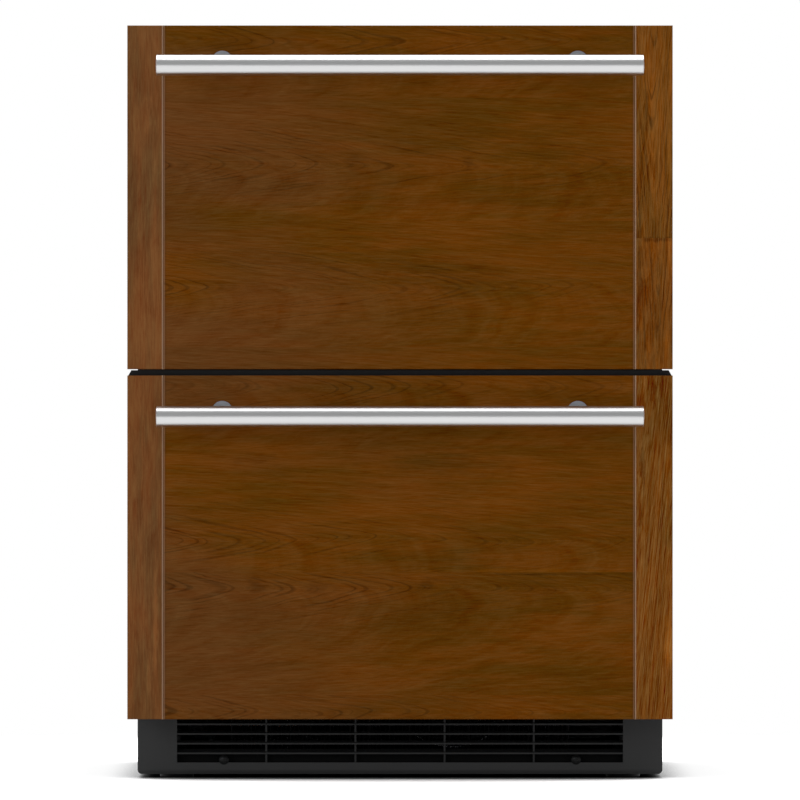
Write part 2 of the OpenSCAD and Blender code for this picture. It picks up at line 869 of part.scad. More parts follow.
// Solid inside both outlines
module kick_solid(inset, y1) {
    intersection() {
        along_y(kick_y, y1) kick_front(inset);
        along_x(-cabinet_w / 2, cabinet_w / 2) kick_side(inset, y1);
    }
}

module kick_plate() {
    color(black) difference() {
        kick_solid(0, cab_y);
        kick_solid(kick_t, cab_y + nudge);
        mid_box(grille_w, kick_y - nudge, kick_y + kick_t + nudge, grille_z, grille_top);
    }
}

// One louvre, sloping up towards the rear, its front edge at height z
module slat(z) {
    y0 = kick_y + slat_front;
    y1 = cab_y - slat_back;
    along_x(-grille_w / 2, grille_w / 2) polygon([
        [y0, z - slat_t / 2], [y1, z - slat_t / 2 + slat_rise],
        [y1, z + slat_t / 2 + slat_rise], [y0, z + slat_t / 2]
    ]);
}

// Louvred insert: a flange behind the sheet, the louvres, uprights and two screw bosses
module louvre_grille() {
    y0 = kick_y + kick_t;
    frame_d = 2;
    upright_y = kick_y + 3;
    color(black) difference() {
        union() {
            difference() {
                mid_box(grille_w + 2 * grille_flange, y0, y0 + frame_d,
                    grille_z - grille_flange, grille_top + 2);
                mid_box(grille_w, y0 - nudge, y0 + frame_d + nudge, grille_z, grille_top);
            }
            both_sides() box(grille_w / 2, grille_w / 2 + grille_flange, y0, cab_y,
                grille_z, grille_top);
            for (z = [slat_z : slat_pitch : grille_top - slat_rise]) slat(z);
            for (i = [1 : grille_bays - 1])
                translate([i * bay_w - grille_w / 2, 0, 0])
                    mid_box(upright_w, upright_y, upright_y + 3, grille_z - 2, grille_top + 1);
            both_sides() {
                difference() {
                    rod_y(screw_x, kick_y, screw_z, screw_boss_d, kick_d);
                    mid_box(grille_w, kick_y - nudge, y0, grille_z - screw_boss_d, grille_z);
                }
                box(screw_x - screw_boss_d / 2, screw_x + screw_boss_d / 2, y0, cab_y,
                    grille_z - grille_flange, screw_z);
            }
        }
        both_sides() rod_y(screw_x, kick_y - nudge, screw_z, screw_d + 0.2, kick_d + 2 * nudge);
    }
}

// Pan-head screws with a cross recess
module kick_plate_screws() {
    head_h = 2.8;
    recess_w = 1.6;
    recess_l = 6;
    recess_d = 1.6;
    dome_r = (pow(screw_head_d / 2, 2) + pow(head_h, 2)) / (2 * head_h);
    color(black) both_sides() difference() {
        union() {
            intersection() {
                translate([screw_x, kick_y - head_h + dome_r, screw_z]) sphere(dome_r);
                rod_y(screw_x, kick_y - head_h - nudge, screw_z, screw_head_d, head_h + nudge);
            }
            rod_y(screw_x, kick_y - nudge, screw_z, screw_d, kick_d + pan_t + 4 + nudge);
        }
        for (turn = [0, 90])
            translate([screw_x, kick_y - head_h, screw_z]) rotate([0, turn, 0])
                mid_box(recess_l, -nudge, recess_d, -recess_w / 2, recess_w / 2);
    }
}

// ---------------------------------------------------------------- fixings

module counter_brackets() {
    color(steel) both_sides() translate([cabinet_w / 2 - bracket_inset, 0, 0]) difference() {
        mid_box(bracket_w, cab_y - bracket_reach, cab_y + bracket_w, cab_top, cab_top + bracket_t);
        translate([0, cab_y - bracket_reach + 10, cab_top - nudge])
            cylinder(d = bracket_hole_d, h = bracket_t + 2 * nudge);
    }
}

// Rear cover of the machine bay, with rows of air slots
module machine_cover() {
    inside = cabinet_w - 2 * sheet_t;
    slot_w = 90;
    slot_h = 5;
    slot_r = 2.4;
    slot_pitch = 13;
    slots_z = pan_z + 60;
    rows = 8;
    color(grey) difference() {
        mid_box(inside, cover_y - sheet_t, cover_y, pan_z, bay_top);
        along_y(cover_y - sheet_t - nudge, cover_y + nudge)
            for (x = [-1, 0, 1] * cabinet_w * 0.29, i = [0 : rows - 1])
                translate([x, slots_z + i * slot_pitch]) mid_rounded(slot_w, 0, slot_h, slot_r);
        rod_y(bush_x, cover_y - sheet_t - nudge, bush_z, bush_bore + 6, sheet_t + 2 * nudge);
    }
}

bush_x = bush_in - cabinet_w / 2;
bush_z = pan_z + bush_rise;

// Bush for the supply cord: a body through the cover, with a flange on each side
module cord_bush() {
    lip = bush_bore + 12;
    color(black) difference() {
        union() {
            rod_y(bush_x, cover_y - sheet_t - 2, bush_z, bush_bore + 6, sheet_t + 4);
            rod_y(bush_x, cover_y, bush_z, lip, 2);
            rod_y(bush_x, cover_y - sheet_t - 2, bush_z, lip, 2);
        }
        rod_y(bush_x, cover_y - sheet_t - 3, bush_z, bush_bore, sheet_t + 6);
    }
}

// ---------------------------------------------------------------- cooling

pump_x = pump_in - cabinet_w / 2;
pump_y = bay_y + bay_d / 2;
pump_top = pan_top + pump_foot_h + pump_h;

// Hermetic compressor: shell, base plate, grommets, terminal cover and pipe stubs
module compressor() {
    foot_x = 50;
    foot_y = 50;
    plate_t = 3;
    shoulder = 18;
    seam_d = pump_d + 8;
    plate_z = pan_top + pump_foot_h - plate_t;
    color(black) translate([pump_x, pump_y, 0]) {
        translate([0, 0, plate_z]) {
            rotate_extrude() polygon([
                [0, 0], [pump_d / 2 - shoulder, 0], [pump_d / 2, shoulder],
                [pump_d / 2, pump_h * 0.45], [seam_d / 2, pump_h * 0.45],
                [seam_d / 2, pump_h * 0.5], [pump_d / 2, pump_h * 0.5],
                [pump_d / 2, pump_h + plate_t - shoulder],
                [pump_d / 2 - shoulder, pump_h + plate_t], [0, pump_h + plate_t]
            ]);
            box(-foot_x - 12, foot_x + 12, -foot_y - 12, foot_y + 12, 0, plate_t);
            box(pump_d / 2 - 8, pump_d / 2 + 22, -22, 22, pump_h * 0.55, pump_h * 0.55 + 40);
        }
        for (x = [-foot_x, foot_x], y = [-foot_y, foot_y])
            translate([x, y, pan_top]) cylinder(d = 20, h = pump_foot_h);
        for (x = [-20, 20]) translate([x, -pump_d / 2 + 4, plate_z + pump_h * 0.7])
            rotate([90, 0, 0]) cylinder(d = tube_d, h = 18);
    }
}

// Tray on the compressor that its heat dries
module condensate_pan() {
    w = 150;
    d = 110;
    t = 2;
    color(black) translate([pump_x, pump_y, pump_top]) difference() {
        linear_extrude(tray_h) rounded_rect(-w / 2, w / 2, -d / 2, d / 2, 12);
        translate([0, 0, t]) linear_extrude(tray_h) rounded_rect(-w / 2 + t, w / 2 - t,
            -d / 2 + t, d / 2 - t, 12 - t);
    }
}

// Fins and tubes along X between two end plates; rows gives the [y, z] of each tube
module fin_coil(w, y0, y1, z0, z1, foot_z, rows) {
    fin_t = 0.8;
    end_t = 1.5;
    pitch = (w - end_t) / (fin_count + 1);
    for (side = [-1, 1]) box(side * (w - end_t) / 2 - end_t / 2, side * (w - end_t) / 2 + end_t / 2,
        y0, y1, foot_z, z1);
    for (i = [1 : fin_count])
        box(i * pitch - w / 2, i * pitch - w / 2 + fin_t, y0, y1, z0, z1);
    for (p = rows) translate([-w / 2 - 8, p[0], p[1]]) rotate([0, 90, 0])
        cylinder(d = tube_d, h = w + 16);
}

module condenser_coil() {
    y0 = cab_y + 70;
    y1 = y0 + coil_d;
    z0 = pan_top + 8;
    z1 = deck_z - sheet_t - 4;
    color(black) fin_coil(coil_w, y0, y1, z0, z1, pan_top, [
        for (i = [0 : 3]) [y0 + coil_d * (i + 0.5) / 4, (z0 + z1) / 2]
    ]);
}

module evaporator_coil() {
    y0 = cold_y + cold_cover_t;
    y1 = room_back_y;
    h = cold_coil_top - cold_coil_z;
    color(steel) fin_coil(cold_coil_w, y0 + 4, y1, cold_coil_z, cold_coil_top, cold_coil_z, [
        for (i = [0 : 3]) [(y0 + y1) / 2 + 2, cold_coil_z + h * (i + 0.5) / 4]
    ]);
}

// Fan rotor about Y: hub, pitched blades and the shaft that runs rearwards
module fan_rotor(x, y, z, d, depth, hub_d, shaft_len) {
    blades = 5;
    blade_t = 1.6;
    pitch = 32;
    translate([x, y, z]) {
        rod_y(0, 0, 0, hub_d, depth);
        rod_y(0, depth - nudge, 0, shaft_d, shaft_len + nudge);
        intersection() {
            rod_y(0, 0, 0, d, depth);
            for (i = [0 : blades - 1]) rotate([0, i * 360 / blades, 0])
                translate([0, depth / 2, 0]) rotate([0, 0, pitch])
                    box(-blade_t / 2, blade_t / 2, -depth, depth, hub_d / 4, d);
        }
    }
}

fan_x = 60;
fan_y = bay_y + 12;
fan_box = fan_d + 2 * fan_frame;
fan_z = pan_top + fan_box / 2;
fan_hub_d = 44;
rotor_d = fan_box_d - 12;
motor_gap = 0.5;

module condenser_fan() {
    color(black) fan_rotor(fan_x, fan_y + 2, fan_z, fan_d, rotor_d, fan_hub_d, 10);
}

// Square fan housing with the motor held on four arms behind the rotor
module condenser_fan_housing() {
    arm_t = 3;
    arm_w = 7;
    tip_clear = 3;
    motor_y = fan_y + 2 + rotor_d + motor_gap;
    bore_d = fan_d + 2 * tip_clear;
    color(grey) difference() {
        union() {
            difference() {
                along_y(fan_y, fan_y + fan_box_d) rounded_rect(fan_x - fan_box / 2,
                    fan_x + fan_box / 2, pan_top, pan_top + fan_box, 8);
                rod_y(fan_x, fan_y - nudge, fan_z, bore_d, fan_box_d + 2 * nudge);
            }
            rod_y(fan_x, motor_y, fan_z, fan_hub_d, 22);
            for (turn = [45, -45]) translate([fan_x, 0, fan_z]) rotate([0, turn, 0])
                mid_box(bore_d + 6, fan_y + fan_box_d - arm_t, fan_y + fan_box_d,
                    -arm_w / 2, arm_w / 2);
        }
        rod_y(fan_x, motor_y - nudge, fan_z, shaft_d + 2 * shaft_clear, 11.5);
    }
}

cold_fan_y = cold_y + cold_cover_t + 1.5;
cold_rotor_d = 16;
cold_hub_d = 32;

module evaporator_fan() {
    color(black) fan_rotor(0, cold_fan_y, cold_fan_z, cold_fan_d, cold_rotor_d, cold_hub_d, 8);
}

// Motor behind the rotor, held by two arms on posts that stand on the cover
module evaporator_fan_motor() {
    motor_y = cold_fan_y + cold_rotor_d + motor_gap;
    motor_l = 16;
    arm_t = 3;
    arm_w = 8;
    post_x = cold_fan_d / 2 + 8;
    cover_back = cold_y + cold_cover_t;
    color(grey) difference() {
        union() {
            rod_y(0, motor_y, cold_fan_z, cold_hub_d, motor_l);
            translate([0, 0, cold_fan_z]) {
                mid_box(2 * post_x, motor_y + 4, motor_y + 4 + arm_t, -arm_w / 2, arm_w / 2);
                both_sides() rod_y(post_x, cover_back, 0, arm_w, motor_y + 4 + arm_t - cover_back);
            }
        }
        rod_y(0, motor_y - nudge, cold_fan_z, shaft_d + 2 * shaft_clear, 9.5);
    }
}

// Cover of the cold side: a ring guard before the fan and return slots below
module evaporator_cover() {
    guard_w = 2.4;
    slot_h = 5;
    slots = 5;
    bay = cold_w / 3;
    bridge = 50;
    leg_inset = 16;
    z0 = upper_room[0] + liner_r;
    z1 = upper_room[1] - 3;
    color(white) {
        along_y(cold_y, cold_y + cold_cover_t) {
            difference() {
                mid_rounded(cold_w, z0, z1, 8);
                translate([0, cold_fan_z]) circle(d = cold_fan_d + 4);
                for (side = [-1 : 1], i = [0 : slots - 1])
                    translate([side * bay, z0 + 12 + i * 2 * slot_h])
                        mid_rounded(bay - bridge, 0, slot_h, 2.4);
            }
            translate([0, cold_fan_z]) {
                for (r = [0.35, 0.65]) difference() {
                    circle(d = cold_fan_d * r + guard_w);
                    circle(d = cold_fan_d * r - guard_w);
                }
                circle(d = 12);
                for (turn = [0, 60, 120]) rotate(turn)
                    square([cold_fan_d + 6, guard_w], center = true);
            }
        }
        both_sides() box(cold_w / 2 - leg_inset, cold_w / 2 - leg_inset + cold_cover_t,
            cold_y + cold_cover_t, room_back_y, z0 + 8, z1 - 8);
    }
}

// ---------------------------------------------------------------- controls and lights

button_h = display_h - 3;
button_stem = 6;

// Pocket or body of one push button
module button_shape(x, grow, y0, y1) {
    along_y(y0, y1) rounded_rect(x - button_w / 2 - grow, x + button_w / 2 + grow,
        control_mid_z - button_h / 2 - grow, control_mid_z + button_h / 2 + grow, 2 + grow);
}

function button_at(i) = button_x - button_w / 2 + (i - 0.5) * button_pitch;

module control_housing() {
    color(black) difference() {
        along_y(control_y, control_y + control_d)
            rounded_rect(-control_w / 2, control_w / 2, control_z, upper_room[1], 3);
        display_shape(0, nudge);
        for (i = [0 : 2]) button_shape(button_at(i), button_clear,
            control_y - nudge, control_y + button_stem + button_travel + button_clear);
    }
}

display_t = 2;
display_x = -control_w / 2 + 12;

module display_shape(grow, front) {
    along_y(control_y - front, control_y + display_t) rounded_rect(display_x - grow,
        display_x + display_w + grow, control_mid_z - display_h / 2 - grow,
        control_mid_z + display_h / 2 + grow, 2);
}

module display_window() {
    color([0.05, 0.06, 0.08]) display_shape(0, 0);
}

module push_button(i) {
    color(grey) button_shape(button_at(i), 0, control_y - button_proud, control_y + button_stem);
}

module light_lenses() {
    lens_w = 18;
    lens_y = cab_y + lens_in;
    color(white) for (room = [upper_room, lower_room])
        translate([0, 0, room[1] - lens_t]) linear_extrude(lens_t)
            rounded_rect(-lens_l / 2, lens_l / 2, lens_y, lens_y + lens_w, 4);
}

// ---------------------------------------------------------------- the parts

cabinet_shell();
back_panel();
insulation();
upper_liner();
lower_liner();
mullion_rail();
base_pan();
kick_plate();
louvre_grille();
kick_plate_screws();
counter_brackets();
machine_cover();
cord_bush();
compressor();
condenser_coil();
condenser_fan_housing();
condensate_pan();
evaporator_cover();
evaporator_coil();
evaporator_fan_motor();
control_housing();
display_window();
light_lenses();
outer_rails(slide_z_upper);  // upper_outer_rails
outer_rails(slide_z_lower);  // lower_outer_rails
middle_rails(slide_z_upper);  // upper_middle_rails
middle_rails(slide_z_lower);  // lower_middle_rails
condenser_fan();
evaporator_fan();
push_button(0);  // power_button
push_button(1);  // cooler_button
push_button(2);  // warmer_button
leg(-1, leg_front_y);  // front_left_leg
leg(1, leg_front_y);  // front_right_leg
leg(-1, leg_rear_y);  // rear_left_leg
leg(1, leg_rear_y);  // rear_right_leg
wood_field(upper_wood_z);  // upper_wood_field
left_stile(upper_wood_z);  // upper_left_stile
right_stile(upper_wood_z);  // upper_right_stile
door_pan(upper_door_z);  // upper_door_pan
door_foam(upper_door_z);  // upper_door_foam
door_liner(upper_door_z, upper_room);  // upper_door_liner
door_cap(upper_door_z);  // upper_door_cap
gasket(upper_door_z);  // upper_gasket
handle_bar(upper_wood_z);  // upper_handle_bar
handle_posts(upper_wood_z);  // upper_handle_posts
upper_bin();
inner_rails(slide_z_upper);  // upper_inner_rails
wood_field(lower_wood_z);  // lower_wood_field
left_stile(lower_wood_z);  // lower_left_stile
right_stile(lower_wood_z);  // lower_right_stile
door_pan(lower_door_z);  // lower_door_pan
door_foam(lower_door_z);  // lower_door_foam
door_liner(lower_door_z, lower_room);  // lower_door_liner
door_cap(lower_door_z);  // lower_door_cap
gasket(lower_door_z);  // lower_gasket
handle_bar(lower_wood_z);  // lower_handle_bar
handle_posts(lower_wood_z);  // lower_handle_posts
lower_bin();
inner_rails(slide_z_lower);  // lower_inner_rails
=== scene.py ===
"""Looks of an undercounter refrigerator with two drawers behind wooden fronts.

Metres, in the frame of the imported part: the fronts face -Y, +Z is up, the floor is z = 0.
"""
import logging
import math
from dataclasses import dataclass
from enum import Enum
from typing import Iterable, Optional, Sequence, Union

import bmesh
import bpy
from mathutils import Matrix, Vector


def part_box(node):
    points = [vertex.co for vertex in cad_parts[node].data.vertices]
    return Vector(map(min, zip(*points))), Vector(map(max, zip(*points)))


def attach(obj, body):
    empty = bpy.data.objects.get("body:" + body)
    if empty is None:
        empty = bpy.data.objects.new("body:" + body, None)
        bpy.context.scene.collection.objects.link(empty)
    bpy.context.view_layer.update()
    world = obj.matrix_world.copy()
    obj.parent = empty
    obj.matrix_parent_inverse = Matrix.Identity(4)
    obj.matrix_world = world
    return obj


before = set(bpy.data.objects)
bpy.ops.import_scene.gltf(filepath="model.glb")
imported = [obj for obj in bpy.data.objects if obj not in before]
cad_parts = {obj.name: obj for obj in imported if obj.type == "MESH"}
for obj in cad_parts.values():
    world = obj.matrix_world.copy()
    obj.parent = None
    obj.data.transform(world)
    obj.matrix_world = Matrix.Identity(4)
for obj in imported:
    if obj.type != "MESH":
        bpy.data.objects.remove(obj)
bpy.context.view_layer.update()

LOG = logging.getLogger("scene")

Colour = tuple[float, float, float]
Point = tuple[float, float, float]
Flat = tuple[float, float]


class Grain(Enum):
    """The way the grain of a board runs."""

    ACROSS = "across"
    UPRIGHT = "upright"


# ------------------------------------------------------------------ shader building


class Value:
    """A number that varies over a surface; arithmetic on it adds Math nodes."""

    def __init__(self, shader: "Shader", socket: bpy.types.NodeSocket) -> None:
        """Wraps the output socket that carries the number."""
        self.shader = shader
        self.socket = socket

    def _math(self, operation: str, *terms: "Number") -> "Value":
        """Adds a Math node.

        Args:
            operation: the node's operation.
            terms: its inputs, in order.

        Returns:
            The node's result.
        """
        inputs = dict(enumerate(terms))
        node = self.shader.node("ShaderNodeMath", {"operation": operation}, inputs)
        return Value(self.shader, node.outputs[0])

    def __add__(self, other: "Number") -> "Value":
        """self + other."""
        return self._math("ADD", self, other)

    def __radd__(self, other: "Number") -> "Value":
        """other + self."""
        return self._math("ADD", other, self)

    def __sub__(self, other: "Number") -> "Value":
        """self - other."""
        return self._math("SUBTRACT", self, other)

    def __rsub__(self, other: "Number") -> "Value":
        """other - self."""
        return self._math("SUBTRACT", other, self)

    def __mul__(self, other: "Number") -> "Value":
        """self * other."""
        return self._math("MULTIPLY", self, other)

    def __rmul__(self, other: "Number") -> "Value":
        """other * self."""
        return self._math("MULTIPLY", other, self)

    def __truediv__(self, other: "Number") -> "Value":
        """self / other."""
        return self._math("DIVIDE", self, other)

    def __rtruediv__(self, other: "Number") -> "Value":
        """other / self."""
        return self._math("DIVIDE", other, self)

    def power(self, exponent: "Number") -> "Value":
        """self to a power."""
        return self._math("POWER", self, exponent)

    def root(self) -> "Value":
        """The square root."""
        return self._math("SQRT", self)

    def size(self) -> "Value":
        """The number without its sign."""
        return self._math("ABSOLUTE", self)

    def sine(self) -> "Value":
        """The sine of self, in radians."""
        return self._math("SINE", self)

    def at_least(self, other: "Number") -> "Value":
        """The larger of the two."""
        return self._math("MAXIMUM", self, other)

    def rise(self, low: float, high: float) -> "Value":
        """A smooth step, which falls where low is above high.

        Args:
            low: where it is 0.
            high: where it is 1.

        Returns:
            The step, from 0 to 1.
        """
        ends = {1: low, 2: high, 3: 0.0, 4: 1.0}
        if low > high:
            ends = {1: high, 2: low, 3: 1.0, 4: 0.0}
        smooth = {"interpolation_type": "SMOOTHSTEP"}
        node = self.shader.node("ShaderNodeMapRange", smooth, {0: self, **ends})
        return Value(self.shader, node.outputs[0])


Number = Union[Value, float, int]


@dataclass(frozen=True)
class Weave:
    """The fineness of a noise: its cells per unit of each coordinate, and its finer layers."""

    first: float
    second: float
    third: float
    detail: float = 2.0
    rough: float = 0.5
    shift: float = 0.0


class Shader:
    """The nodes of one material, or of the world."""

    def __init__(self, owner: Union[bpy.types.Material, bpy.types.World]) -> None:
        """Takes up the nodes of a new material or world.

        Args:
            owner: the material or world.
        """
        owner.use_nodes = True
        self.owner = owner
        self.tree = owner.node_tree
        self.main = next((n for n in self.tree.nodes if n.type == "BSDF_PRINCIPLED"), None)
        self._place: Optional[tuple[Value, Value, Value]] = None

    def node(self, kind: str, settings: Optional[dict] = None,
             inputs: Optional[dict] = None) -> bpy.types.Node:
        """Adds a node.

        Args:
            kind: the node's type.
            settings: its settings, set first. "stops" gives a ramp's stops as (position,
                colour), and "steps" how it goes from one to the next.
            inputs: values or links of its sockets, by name or number.

        Returns:
            The node.
        """
        made = self.tree.nodes.new(kind)
        for name, value in (settings or {}).items():
            if name == "stops":
                ramp = made.color_ramp
                while len(ramp.elements) < len(value):
                    ramp.elements.new(0.5)
                for element, (position, colour) in zip(ramp.elements, value):
                    element.position = position
                    element.color = (*colour, 1.0)
            elif name == "steps":
                made.color_ramp.interpolation = value
            else:
                setattr(made, name, value)
        for name, value in (inputs or {}).items():
            self.feed(made.inputs[name], value)
        return made

    def feed(self, socket: bpy.types.NodeSocket, value: object) -> None:
        """Links a value, node or socket to a socket, or writes a plain value on it.

        Args:
            socket: the socket.
            value: what it is linked to, or the plain value.
        """
        if isinstance(value, Value):
            self.tree.links.new(value.socket, socket)
        elif isinstance(value, bpy.types.Node):
            self.tree.links.new(value.outputs[0], socket)
        elif isinstance(value, bpy.types.NodeSocket):
            self.tree.links.new(value, socket)
        elif socket.type == "RGBA" and len(value) == 3:
            socket.default_value = (*value, 1.0)
        else:
            socket.default_value = value

    def values(self, node: bpy.types.Node, *outputs: Union[str, int]) -> list[Value]:
        """The named or numbered outputs of a node, as values."""
        return [Value(self, node.outputs[each]) for each in outputs]

    def split(self, vector: bpy.types.NodeSocket) -> tuple[Value, Value, Value]:
        """The three numbers of a vector."""
        return tuple(self.values(self.node("ShaderNodeSeparateXYZ", None, {0: vector}), 0, 1, 2))

    def place(self) -> tuple[Value, Value, Value]:
        """The point of the surface on the part at rest.

        Returns:
            Its x, y and z in metres.
        """
        if self._place is None:
            self._place = self.split(self.node("ShaderNodeTexCoord").outputs["Object"])
        return self._place

    def point(self, x: Number, y: Number, z: Number) -> bpy.types.NodeSocket:
        """A vector of three numbers."""
        return self.node("ShaderNodeCombineXYZ", None, {0: x, 1: y, 2: z}).outputs[0]

    def noise(self, at: Sequence[Number], scale: float = 1.0, detail: float = 2.0,
              rough: float = 0.5) -> Value:
        """Soft noise.

        Args:
            at: the three numbers of the point where it is read.
            scale: its cells per unit.
            detail: how many finer layers it has.
            rough: how strong those are.

        Returns:
            The noise, about 0.5 with most of it between 0.3 and 0.7.
        """
        inputs = {"Vector": self.point(*at), "Scale": scale, "Detail": detail, "Roughness": rough}
        return Value(self, self.node("ShaderNodeTexNoise", None, inputs).outputs[0])

    def woven(self, weave: Weave, first: Number, second: Number, third: Number) -> Value:
        """Soft noise with the fineness of a weave.

        Args:
            weave: the fineness.
            first: the first coordinate where it is read.
            second: the second coordinate.
            third: the third coordinate, or a seed.

        Returns:
            The noise.
        """
        depth = third * weave.third
        if weave.shift:
            depth = depth + weave.shift
        at = (first * weave.first, second * weave.second, depth)
        return self.noise(at, 1.0, weave.detail, weave.rough)

    def mix(self, share: Number, first: object, second: object) -> bpy.types.NodeSocket:
        """A colour that goes from first to second as share goes from 0 to 1."""
        inputs = {0: share, 6: first, 7: second}
        return self.node("ShaderNodeMix", {"data_type": "RGBA"}, inputs).outputs[2]

    def brightened(self, colour: object, factor: Number) -> bpy.types.NodeSocket:
        """A colour times a number."""
        scaled = self.node("ShaderNodeVectorMath", {"operation": "SCALE"}, {0: colour, 3: factor})
        return scaled.outputs[0]

    def summed(self, first: object, second: object) -> bpy.types.NodeSocket:
        """The sum of two colours."""
        inputs = {0: first, 1: second}
        return self.node("ShaderNodeVectorMath", {"operation": "ADD"}, inputs).outputs[0]

    def bump(self, height: Value, depth: float, strength: float = 1.0) -> None:
        """Roughens the surface.

        Args:
            height: the relief, from 0 to 1.
            depth: its depth in metres.
            strength: how strongly it shades.
        """
        inputs = {"Height": height, "Distance": depth, "Strength": strength}
        self.feed(self.main.inputs["Normal"], self.node("ShaderNodeBump", None, inputs))

    def set(self, **sockets: object) -> None:
        """Writes or links sockets of the main shader, named with underscores for spaces."""
        for name, value in sockets.items():
            self.feed(self.main.inputs[name.replace("_", " ")], value)


# ------------------------------------------------------------------ finishes


@dataclass(frozen=True)
class Finish:
    """A surface finish."""

    name: str

    def build(self) -> bpy.types.Material:
        """Makes the material.

        Returns:
            The material.
        """
        shader = Shader(bpy.data.materials.new(self.name))
        self.paint(shader)
        return shader.owner

    def paint(self, s: Shader) -> None:
        """Adds the nodes of the finish to a shader."""
        raise NotImplementedError


@dataclass(frozen=True)
class Leaf:
    """One leaf of veneer: its lower edge, and the place and seed of its arched figure."""

    low: float
    centre: float
    shift: float
    seed: float


@dataclass(frozen=True)
class Mark:
    """A dark or bright patch in the wood, such as a knot or a flame."""

    x: float
    z: float
    half_x: float
    half_z: float
    tone: float


DRIFT = Weave(5.0, 14.0, 40.0)
RAGGED = Weave(50.0, 140.0, 40.0, 3.0, 0.65, 7.0)
JITTER = Weave(0.7, 5.0, 90.0, 2.0, 0.6)
SWELL = Weave(0.6, 10.0, 30.0, 2.0, 0.6, 5.0)
RINGS = Weave(3.4, 11.0, 60.0, 3.0, 0.7)
FIBRE = Weave(42.0, 640.0, 560.0, 3.0, 0.7)
THREAD = Weave(14.0, 1.0, 9.0, 3.0, 0.65)
PORES = Weave(160.0, 2400.0, 900.0, 1.0)
CLOUD = Weave(4.5, 15.0, 11.0, 3.0, 0.55)
HUE = Weave(9.0, 95.0, 23.0, 4.0, 0.65, 3.0)
SHEEN_PATCH = Weave(3.0, 9.0, 1.0)
BRUSHING = Weave(18.0, 2600.0, 2600.0, 3.0, 0.65)
SMEAR = Weave(9.0, 60.0, 60.0)
DRAWN = Weave(30.0, 30.0, 900.0)


